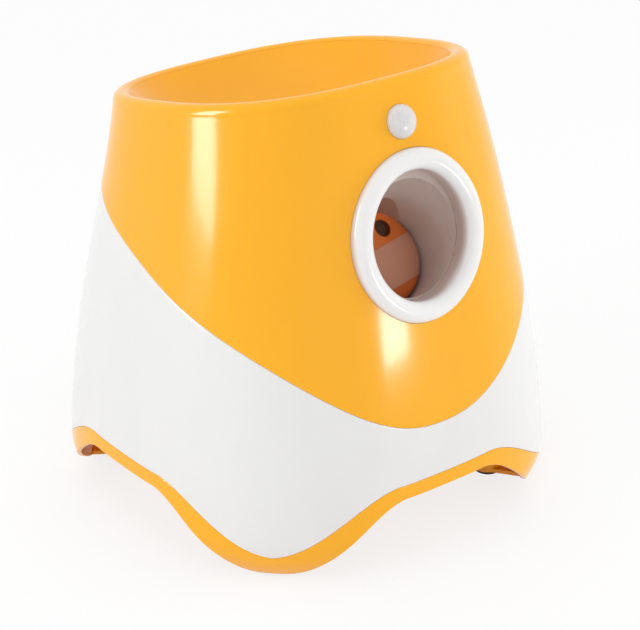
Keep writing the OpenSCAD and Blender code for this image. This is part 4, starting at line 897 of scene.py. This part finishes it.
class LAUNCHER_OT_studio(bpy.types.Operator):
    """Floor, lamps, surrounding light and camera"""

    bl_idname = "launcher.studio"
    bl_label = "Studio"

    def execute(self, context):
        scene = context.scene
        studio = scene.launcher_studio
        scene.view_settings.view_transform = "Standard"
        self.floor(scene.launcher_finishes.floor)
        self.surround(scene, studio.ambient)
        for lamp in LAMPS:
            self.lamp(*lamp)
        self.camera(scene, studio)
        return {"FINISHED"}

    def floor(self, base):
        """A wide flat floor that still takes the shadow.

        The camera sees a share of its own white light in it, which grows from near to far."""
        near, far, near_share = 0.4, 3.0, 0.80
        mesh = bpy.data.meshes.new("Floor")
        half = 6.0
        corners = [(-half, -half, 0), (half, -half, 0), (half, half, 0), (-half, half, 0)]
        mesh.from_pydata(corners, [], [(0, 1, 2, 3)])
        obj = bpy.data.objects.new("Floor", mesh)
        bpy.context.scene.collection.objects.link(obj)
        m = Shader("studio_floor", tuple(base), 0.8)
        m.vary_roughness(m.ramp(m.noise(3.0), 0.3, 0.7, 0.75, 0.9))
        glow = m.add("ShaderNodeEmission")
        glow.inputs["Color"].default_value = (1, 1, 1, 1)
        glow.inputs["Strength"].default_value = 1.0
        mix = m.add("ShaderNodeMixShader")
        seen = m.add("ShaderNodeLightPath")
        away = m.add("ShaderNodeVectorMath", operation="LENGTH")
        m.link(m.coords, away.inputs[0])
        share = m.add("ShaderNodeMath", operation="MULTIPLY")
        m.link(m.ramp(away.outputs["Value"], near, far, near_share, 1.0), share.inputs[1])
        m.link(self.shown(m.tree, seen), share.inputs[0])
        m.link(share.outputs[0], mix.inputs["Fac"])
        m.link(m.surface.outputs["BSDF"], mix.inputs[1])
        m.link(glow.outputs["Emission"], mix.inputs[2])
        m.link(mix.outputs["Shader"], m.tree.nodes["Material Output"].inputs["Surface"])
        mesh.materials.append(m.material)

    def surround(self, scene, ambient):
        """Even light all round, which the camera and clear or shiny pieces see as white."""
        world = bpy.data.worlds.new("Studio")
        scene.world = world
        world.use_nodes = True
        tree = world.node_tree
        back = tree.nodes["Background"]
        back.inputs["Color"].default_value = (1, 1, 1, 1)
        path = tree.nodes.new("ShaderNodeLightPath")
        strength = tree.nodes.new("ShaderNodeMapRange")
        strength.inputs["To Min"].default_value = ambient
        strength.inputs["To Max"].default_value = 1.0
        tree.links.new(self.shown(tree, path), strength.inputs["Value"])
        tree.links.new(strength.outputs["Result"], back.inputs["Strength"])

    def shown(self, tree, path):
        """1 for the rays that show the background: from the camera, or through gloss or clear stuff."""
        total = path.outputs["Is Camera Ray"]
        for kind in ("Is Glossy Ray", "Is Transmission Ray"):
            node = tree.nodes.new("ShaderNodeMath")
            node.operation = "MAXIMUM"
            tree.links.new(total, node.inputs[0])
            tree.links.new(path.outputs[kind], node.inputs[1])
            total = node.outputs[0]
        return total

    def lamp(self, name, place, target, width, height, power, lights):
        """A rectangular soft box that faces a target, and lights only the gloss or only the matt."""
        data = bpy.data.lights.new(name, "AREA")
        data.shape = "RECTANGLE"
        data.size, data.size_y, data.energy = width, height, power
        obj = bpy.data.objects.new(name, data)
        bpy.context.scene.collection.objects.link(obj)
        obj.visible_diffuse, obj.visible_glossy = lights == "matt", lights == "gloss"
        obj.location = place
        obj.rotation_mode = "QUATERNION"
        obj.rotation_quaternion = (Vector(target) - Vector(place)).to_track_quat("-Z", "Y")

    def camera(self, scene, studio):
        """The camera: heading, elevation and roll as the photograph has them."""
        data = bpy.data.cameras.new("Camera")
        data.sensor_width = 36
        data.lens = studio.focal
        data.clip_start, data.clip_end = 0.05, 30
        a, e, roll = studio.camera_turn, studio.camera_rise, studio.camera_roll
        back = np.array([math.sin(a) * math.cos(e), -math.cos(a) * math.cos(e), math.sin(e)])
        right = np.array([math.cos(a), math.sin(a), 0.0])
        up = np.cross(back, right)
        side = right * math.cos(roll) + up * math.sin(roll)
        top = up * math.cos(roll) - right * math.sin(roll)
        obj = bpy.data.objects.new("Camera", data)
        scene.collection.objects.link(obj)
        obj.matrix_world = Matrix(place_from(tuple(studio.camera_place), side, top, back).tolist())
        scene.camera = obj


class LAUNCHER_OT_top_shell(bpy.types.Operator):
    """Orange upper casing: wall, rolled rim, mouth opening and lens opening"""

    bl_idname = "launcher.top_shell"
    bl_label = "Top Shell"

    def execute(self, context):
        s, mouth = context.scene.launcher_body, context.scene.launcher_mouth
        a = ring_angles()
        low, top = seam_height(a, s), rim_height(a, s) - s.lip
        rows = spread(low + s.edge, top, count=84)
        outer = skin(a[:, None], rows, 0.0, s)
        inner = skin(a[:, None], rows, s.wall, s)
        turn = lip_turn(a, top, s, mouth)
        lip = np.concatenate([
            lip_rows(a, top, s.lip, turn, s, count=24),
            lip_rows(a, top, s.lip - s.wall, turn, s, count=8)[:, ::-1],
        ], 1)
        holes = [
            (mouth_place(s, mouth), oval_hole(mouth.outer + s.clearance / 2, mouth.rise / 2)),
            (skin_place(0.0, mouth.lens_height, 0.0, s), round_hole(mouth.lens + s.clearance / 2)),
        ]
        orange = orange_gloss(context)
        obj = shell("Top_casing", outer, lip, inner, foot_rows(a, low, s), holes, s, orange, "housing")
        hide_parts("top_shell")
        return {"FINISHED"}


class LAUNCHER_OT_main_housing(bpy.types.Operator):
    """White casing with the seam's tongue and the openings for the panel and the power inlet"""

    bl_idname = "launcher.main_housing"
    bl_label = "Main Housing"

    def execute(self, context):
        s, openings = context.scene.launcher_body, context.scene.launcher_back
        a = ring_angles()
        low, high = trim_height(a, s) + s.gap, seam_height(a, s) - s.gap
        rows = spread(low + s.edge, high - s.edge, count=72, power=1.25)
        outer = skin(a[:, None], rows, 0.0, s)
        inner = skin(a[:, None], rows, s.wall, s)
        # the inner wall ends in rows 0.3 mm apart where the slope under the tongue meets it, 0.1 mm inside
        foot, step = high[:, None] - s.tongue_foot, 0.0003
        inner[:, -3:] = skin(a[:, None], foot - step * np.array([3, 2, 1]), s.wall, s)
        top = np.concatenate([
            edge_round(a, high, 1, s)[:, 1:],
            tongue_rows(a, high, s),
            skin(a[:, None], foot, s.wall + 0.0001, s),
        ], 1)
        panel = slot_hole(openings.panel_wide, openings.panel_tall, openings.panel_corner)
        holes = [
            (skin_place(math.pi, openings.panel_height, 0.0, s), panel),
            (skin_place(math.pi, openings.inlet_height, 0.0, s), round_hole(openings.inlet)),
        ]
        white = white_gloss(context)
        obj = shell("Main_casing", outer, top, inner, foot_rows(a, low, s), holes, s, white, "housing")
        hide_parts("main_housing")
        return {"FINISHED"}


class LAUNCHER_OT_base_tray(bpy.types.Operator):
    """Orange trim with the arches, and the floor, foot towers and battery well behind it"""

    bl_idname = "launcher.base_tray"
    bl_label = "Base Tray"

    def execute(self, context):
        s, base = context.scene.launcher_body, context.scene.launcher_base
        floor_top = s.arch + base.floor
        into = s.arch + base.sunk
        parts = [self.trim(s), self.floor(s, base, floor_top)]
        at = base.tower_place / math.sqrt(2)
        tower = [
            (base.screw_head, base.pad_height), (base.pad, base.pad_height), (base.pad, s.sole),
            (base.tower, s.sole), (base.tower, floor_top), (base.screw, floor_top),
            (base.screw, base.seat), (base.screw_head, base.seat),
        ]
        for k, (x, y) in enumerate(((at, -at), (at, at), (-at, at), (-at, -at))):
            parts.append(self.turned(tower, x, y, 64))
            sole = self.sole(math.pi / 4 + k * math.pi / 2, s, base)
            parts.append(plate([sole], s.sole, s.sole + base.floor))
        parts += self.well(s, base, into)
        # sleeves, with a closed end, for the two gearbox screws that the well leaves free
        around, capped = base.pilot + base.sleeve, s.arch - base.sleeve_low + base.sleeve_cap
        for x in GEARBOX_FEET_X:
            y = GEARBOX_FEET_Y[1]
            parts.append(plate([circle(x, y, around)], s.arch - base.sleeve_low, capped))
            parts.append(self.turned(self.tube(base.pilot, around, capped, into), x, y, 40))
        # the main board's posts stand half a millimetre deep in the floor
        post = self.tube(base.post_hole, base.sleeve, floor_top - 0.0005, floor_top + base.post)
        parts += [self.turned(post, x, y, 32) for x in BOARD_POSTS_X for y in BOARD_POSTS_Y]
        obj = make_object("Base", *joined(parts), orange_gloss(context), "housing")
        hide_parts("base_tray")
        return {"FINISHED"}

    def trim(self, s):
        """The trim: a wall between the arches and the seam with the casing, with a tongue above it."""
        a = ring_angles()
        column, low, high = a[:, None], arch_height(a, s), trim_height(a, s)
        sections = np.concatenate([
            skin(column, spread(low + s.edge, high - s.edge, 28), 0.0, s),
            edge_round(a, high, 1, s)[:, 1:],
            tongue_rows(a, high, s),
            skin(column, spread(high - s.tongue_foot, low + s.edge, 12), s.wall, s),
            edge_round(a, low, -1, s, s.wall - 2 * s.edge)[:, -1:],
            edge_round(a, low, -1, s)[:, ::-1][:, :-1],
        ], 1)
        return sections, ring_faces(*sections.shape[:2]).tolist()

    def floor(self, s, base, top):
        """The floor, with holes for the towers, the gearbox's screws and the sound."""
        a = ring_angles()
        carried = trim_height(a, s) > top + s.gap
        # the floor runs into the wall where a wall stands at its height, and stops short of it elsewhere
        play = 0.0004
        inset = np.where(carried, s.wall - play, s.wall + play)
        edge = skin(a, np.full_like(a, s.arch + base.floor / 2), inset, s)
        at = base.tower_place / math.sqrt(2)
        # the holes are a little tighter than the towers that stand in them
        loops = [edge[:, :2]]
        loops += [circle(x, y, base.tower - 0.0001, 64) for x in (-at, at) for y in (-at, at)]
        loops += [circle(x, y, base.pilot, 32) for x in GEARBOX_FEET_X for y in GEARBOX_FEET_Y]
        x0, y0 = base.speaker
        for k in range(-2, 3):
            x = base.slot_pitch * k
            half = math.sqrt(base.slots**2 - x**2)
            loops.append(np.array(
                arc(x0 + x, y0 + half, base.slot, 0, 180, 13)
                + arc(x0 + x, y0 - half, base.slot, 180, 360, 13)
            ))
        return plate(loops, s.arch, top)

    def well(self, s, base, into):
        """The battery well: its walls, notched for the door's tab, and the pillar for the door's screw."""
        w, h, t, r = base.well_width / 2, base.well_length / 2, base.well_wall, base.well_corner
        outer = []
        for cx, cy, start in ((-1, 1, 90), (-1, -1, 180), (1, -1, 270), (1, 1, 0)):
            outer += arc(cx * (w + t - r), cy * (h + t - r), r, start, start + 90, 10)
        inner = [(w, h), (w, -h), (-w, -h), (-w, h)]
        notch = s.sole + base.notch
        cut = [(-base.tab, h + t), *outer, (base.tab, h + t), (base.tab, h), *inner, (-base.tab, h)]
        back = np.array([0, base.well_back])
        pillar = self.tube(base.pilot, r, base.well_low + base.floor + base.sunk, into)
        return [
            plate([np.array(outer) + back, np.array(inner) + back], notch, into),
            plate([np.array(cut) + back], base.well_low, notch),
            self.turned(pillar, 0, base.tab_back, 48),
        ]

    def sole(self, a, s, base):
        """Outline of the sole at angle a: 10 degrees along the foot's wall, then 150 round the tower."""
        out, across = np.array([math.sin(a), -math.cos(a)]), np.array([math.cos(a), math.sin(a)])
        turn = a + np.radians(np.linspace(-5, 5, 5))
        wall = skin(turn, np.full(5, s.sole + base.floor / 2), s.wall / 2, s)[:, :2]
        t = np.radians(np.linspace(75, -75, 17))[:, None]
        r = (base.tower + base.pad) / 2
        return np.concatenate([wall, out * (base.tower_place + r * np.cos(t)) + across * r * np.sin(t)])

    def tube(self, inner, outer, low, high):
        """Outline of an upright tube."""
        return [(inner, low), (outer, low), (outer, high), (inner, high)]

    def turned(self, profile, x, y, count):
        """An outline turned about an upright axis at x, y."""
        return turned_points(profile, count) + (x, y, 0), ring_faces(count, len(profile)).tolist()


class LAUNCHER_OT_hopper_bowl(bpy.types.Operator):
    """Orange bowl that guides balls to the throat"""

    bl_idname = "launcher.hopper_bowl"
    bl_label = "Hopper Bowl"

    def execute(self, context):
        s, mouth = context.scene.launcher_body, context.scene.launcher_mouth
        a = ring_angles()
        top = rim_height(a, s) - s.lip
        turn = lip_turn(a, top, s, mouth)
        rows = 60
        down = np.linspace(1, 0, rows)
        inside = self.wall(a, top, turn, down, 0.0, 0.0, s, mouth)
        chute_top = mouth.throat_height - mouth.bowl_wall
        spigot = np.stack([
            throat_ring(a, mouth.throat, chute_top - mouth.spigot_depth, s, mouth),
            throat_ring(a, mouth.throat + mouth.spigot, chute_top - mouth.spigot_depth, s, mouth),
            throat_ring(a, mouth.throat + mouth.spigot, chute_top, s, mouth),
            throat_ring(a, mouth.chute_outer, chute_top, s, mouth),
        ], 1)
        up = np.linspace(0, 1, rows)[1:]
        outside = self.wall(a, top, turn, up, 2 * s.wall * (1 - up), mouth.bowl_wall * (1 - up**6), s, mouth)
        # the outline runs down inside and up outside, so it is taken backwards to face out
        sections = np.concatenate([inside, spigot, outside], 1)[:, ::-1]
        faces = ring_faces(*sections.shape[:2]).tolist()
        obj = make_object("Bowl", sections, faces, orange_gloss(context), "housing")
        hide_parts("hopper_bowl")
        return {"FINISHED"}

    def wall(self, a, top, turn, share, out, drop, s, mouth):
        """The bowl between the throat (share 0) and the end of the lip (share 1).

        Across, a point slides straight from one to the other. Its rise is partly even and partly a
        high power of the share, so that the bowl is shallow in the middle and steep at the rim. The
        outside has out and drop above 0, and ends one wall inside the lip's arc."""
        out, drop = np.atleast_1d(out), np.atleast_1d(drop)
        share, out, drop = (row[None, :] for row in np.broadcast_arrays(share, out, drop))
        column, turned = a[:, None], turn[:, None]
        radius = s.lip - (s.wall if out[0, 0] > 0 else 0) + 0 * share
        p = skin(column, top[:, None] + 0 * share, s.lip - radius * np.cos(turned) - out, s)
        p[..., 2] = top[:, None] + radius * np.sin(turned) - s.gap
        q = throat_ring(column, mouth.throat + out, mouth.throat_height, s, mouth)
        rise = mouth.bowl_even * share + (1 - mouth.bowl_even) * share**mouth.bowl_power
        x = q[..., 0] * (1 - share) + p[..., 0] * share
        y = q[..., 1] * (1 - share) + p[..., 1] * share
        z = q[..., 2] * (1 - rise) + p[..., 2] * rise - drop
        return np.stack([x, y, z], -1)


class LAUNCHER_OT_mouth_ring(bpy.types.Operator):
    """White rounded ring round the mouth, with painted shade in its bore"""

    bl_idname = "launcher.mouth_ring"
    bl_label = "Mouth Ring"

    def execute(self, context):
        s, mouth = context.scene.launcher_body, context.scene.launcher_mouth
        middle, half = (mouth.inner + mouth.outer) / 2, (mouth.outer - mouth.inner) / 2
        base = mouth.proud - mouth.rounding
        t = np.linspace(0, np.pi, 41)
        crown = [(middle + half * math.cos(x), base + mouth.rounding * math.sin(x)) for x in t]
        edge, place = mouth.ring_edge, mouth_place(s, mouth)
        profile = (
            arc(mouth.inner + edge, -mouth.depth + edge, edge, 180, 270, 5)
            + arc(mouth.outer - edge, -mouth.depth + edge, edge, 270, 360, 5)
            + crown
        )
        points, faces = oval_sweep(profile, place, mouth.rise / 2)
        f = context.scene.launcher_finishes
        # the bore is painted with shade in the liner's colour, from just above the crown's base down into
        # the ring
        bore_shade = {"place": place, "low": -mouth.shade_low, "high": mouth.shade_top}
        white = finish_of("ring_white", bore_shaded_plastic, f.ring, f.liner, **bore_shade)
        obj = make_object("Ring", points, faces.tolist(), white, "housing")
        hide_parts("mouth_ring")
        return {"FINISHED"}


class LAUNCHER_OT_main_spring(bpy.types.Operator):
    """Coil spring behind the striker"""

    bl_idname = "launcher.main_spring"
    bl_label = "Main Spring"

    def execute(self, context):
        s, mouth = context.scene.launcher_body, context.scene.launcher_mouth
        reach = mouth.seat_depth - mouth.striker_depth - mouth.spring_front
        around, along = 14, mouth.coils * 40
        turn = np.linspace(0, 2 * np.pi * mouth.coils, along + 1)[:, None]
        ring = np.linspace(0, 2 * np.pi, around, endpoint=False)[None, :]
        r = mouth.spring + mouth.wire * np.cos(ring)
        end = mouth.wire + mouth.spring_play
        z = end + (reach - 2 * end) * turn / turn[-1] + mouth.wire * np.sin(ring)
        local = np.stack([r * np.cos(turn), r * np.sin(turn), z], -1)
        place = barrel_place(s, mouth, mouth.seat_depth)
        points = moved(local.reshape(-1, 3), place)
        quads = ring_faces(along + 1, around).reshape(along + 1, around, 4)[:-1].reshape(-1, 4).tolist()
        last = along * around
        caps = [list(range(around))[::-1], [last + k for k in range(around)]]
        obj = make_object("Spring", points, quads + caps, spring_wire(), "housing")
        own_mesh(obj)
        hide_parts("main_spring")
        return {"FINISHED"}


class LAUNCHER_OT_sensor_lens(bpy.types.Operator):
    """Milky dome of the ball sensor"""

    bl_idname = "launcher.sensor_lens"
    bl_label = "Sensor Lens"

    def execute(self, context):
        s, mouth = context.scene.launcher_body, context.scene.launcher_mouth
        r, wall, dome, thick, crown = mouth.lens, s.wall, mouth.lens_dome, mouth.lens_wall, 24
        t = np.radians(np.linspace(0, 90, crown + 1))
        outside = [(r * math.cos(x), wall + dome * math.sin(x)) for x in t]
        inside = [((r - thick) * math.cos(x), wall + (dome - thick) * math.sin(x)) for x in t[::-1]]
        out, high = r + mouth.lens_flange, -mouth.lens_play
        flange = [(r - thick, high - thick), (out, high - thick), (out, high), (r, high)]
        place = skin_place(0.0, mouth.lens_height, wall, s)
        tips = outside[-1][1], inside[0][1]
        points, faces = self.dome(outside[:-1] + inside[1:] + flange, crown, tips, place)
        obj = make_object("Lens", points, faces, finish_of("frosted_lens", frosted_lens), "housing")
        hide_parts("sensor_lens")
        return {"FINISHED"}

    def dome(self, profile, crown, tips, place, count=128):
        """A turned cup whose outer and inner crowns close in tips on the axis.

        The first crown points of the profile are the outer crown, and the inner crown comes next."""
        rows = len(profile)
        local = turned_points(profile, count).reshape(-1, 3)
        points = moved(np.concatenate([local, [(0, 0, z) for z in tips]]), place)
        quads = ring_faces(count, rows).reshape(count, rows, 4)
        keep = np.arange(rows) != crown - 1
        i = np.arange(count)
        k = (i + 1) % count
        tip, hollow = count * rows, count * rows + 1
        outer = np.stack([np.full(count, tip), i * rows + crown - 1, k * rows + crown - 1], -1)
        inner = np.stack([np.full(count, hollow), k * rows + crown, i * rows + crown], -1)
        return points, quads[:, keep].reshape(-1, 4).tolist() + outer.tolist() + inner.tolist()


class LAUNCHER_OT_dressing(bpy.types.Operator):
    """Finishes of the pieces whose solids already have the right shape"""

    bl_idname = "launcher.dressing"
    bl_label = "Dressing"

    def execute(self, context):
        f = context.scene.launcher_finishes
        mouth = context.scene.launcher_mouth
        face = barrel_place(context.scene.launcher_body, mouth, mouth.striker_depth)
        # painted shade in the striker's pocket: a dark zone round the pocket's middle
        pocket_shade = {"middle": moved(np.array(mouth.pocket_place), face), "reach": mouth.pocket_shade}
        acetal = {"roughness": 0.35, "grain": 900.0, "depth": 0.04}
        strap = {"roughness": 0.5, "grain": 1500.0, "depth": 0.15}
        liner = {"roughness": 0.42, "grain": 1200.0, "depth": 0.06}
        panel = {"roughness": 0.4, "grain": 1400.0, "depth": 0.08}
        orange, white = orange_gloss(context), white_gloss(context)
        brass, gilt = (0.62, 0.44, 0.16), (0.50, 0.33, 0.08)
        for nodes, material in (
            (STEEL_NODES, finish_of("plated_steel", turned_steel)),
            (DARK_NODES, finish_of("black_moulding", satin_plastic, f.dark)),
            (GEAR_NODES, finish_of("white_acetal", satin_plastic, (0.78, 0.76, 0.68), **acetal)),
            (BOARD_NODES, finish_of("solder_mask", circuit_board)),
            (["battery_door", "power_button"], orange),
            (["distance_button"], white),
            (["striker_head"], finish_of("striker_orange", pocket_shaded_plastic, f.striker, f.pocket_shade, **pocket_shade)),
            (["striker_strap"], finish_of("strap_pale", satin_plastic, f.strap, **strap)),
            (["launch_barrel"], finish_of("liner_grey", satin_plastic, f.liner, **liner)),
            (["control_panel"], finish_of("panel_grey", satin_plastic, f.panel, **panel)),
            (["battery_contacts"], spring_wire()),
            (["motor"], finish_of("motor_can", turned_steel, (0.5, 0.5, 0.51), roughness=0.34)),
            (["motor_pinion"], finish_of("pinion_brass", turned_steel, brass, roughness=0.3)),
            (["battery_cells"], finish_of("cell_can", turned_steel, gilt, roughness=0.36)),
            (["foot_pads"], finish_of("pad_rubber", rubber, f.rubber)),
            (["power_inlet"], finish_of("inlet_black", satin_plastic, f.dark, roughness=0.35)),
            (["range_lights"], finish_of("light_pipe", glossy_plastic, (0.55, 0.75, 0.55), gloss=0.12)),
        ):
            for node in nodes:
                dress(node, material)
        return {"FINISHED"}


class LAUNCHER_PT_panel(bpy.types.Panel):
    """Buttons that build each piece, with the sizes and colours"""

    bl_idname = "LAUNCHER_PT_panel"
    bl_label = "Ball Launcher"
    bl_space_type = "VIEW_3D"
    bl_region_type = "UI"
    bl_category = "Launcher"

    def draw(self, context):
        layout = self.layout
        for operator in OPERATORS:
            layout.operator(operator.bl_idname)
        for group, _ in GROUPS:
            box = layout.box()
            settings = getattr(context.scene, group)
            for name in settings.__annotations__:
                box.prop(settings, name)


GROUPS = (
    ("launcher_body", BodySizes), ("launcher_mouth", MouthSizes), ("launcher_base", BaseSizes),
    ("launcher_back", BackSizes), ("launcher_finishes", Finishes), ("launcher_studio", StudioSettings),
)
OPERATORS = (
    LAUNCHER_OT_studio, LAUNCHER_OT_top_shell, LAUNCHER_OT_main_housing, LAUNCHER_OT_base_tray,
    LAUNCHER_OT_hopper_bowl, LAUNCHER_OT_mouth_ring, LAUNCHER_OT_main_spring, LAUNCHER_OT_sensor_lens,
    LAUNCHER_OT_dressing,
)


def register():
    """Adds the settings, the operators and the panel to Blender."""
    for name, group in GROUPS:
        bpy.utils.register_class(group)
        setattr(bpy.types.Scene, name, bpy.props.PointerProperty(type=group))
    for cls in (*OPERATORS, LAUNCHER_PT_panel):
        bpy.utils.register_class(cls)


def unregister():
    """Takes them out again."""
    for cls in (LAUNCHER_PT_panel, *reversed(OPERATORS)):
        bpy.utils.unregister_class(cls)
    for name, group in reversed(GROUPS):
        delattr(bpy.types.Scene, name)
        bpy.utils.unregister_class(group)


def main():
    """Builds every piece in order."""
    register()
    for operator in OPERATORS:
        group, name = operator.bl_idname.split(".")
        getattr(getattr(bpy.ops, group), name)()


if __name__ == "__main__":
    main()
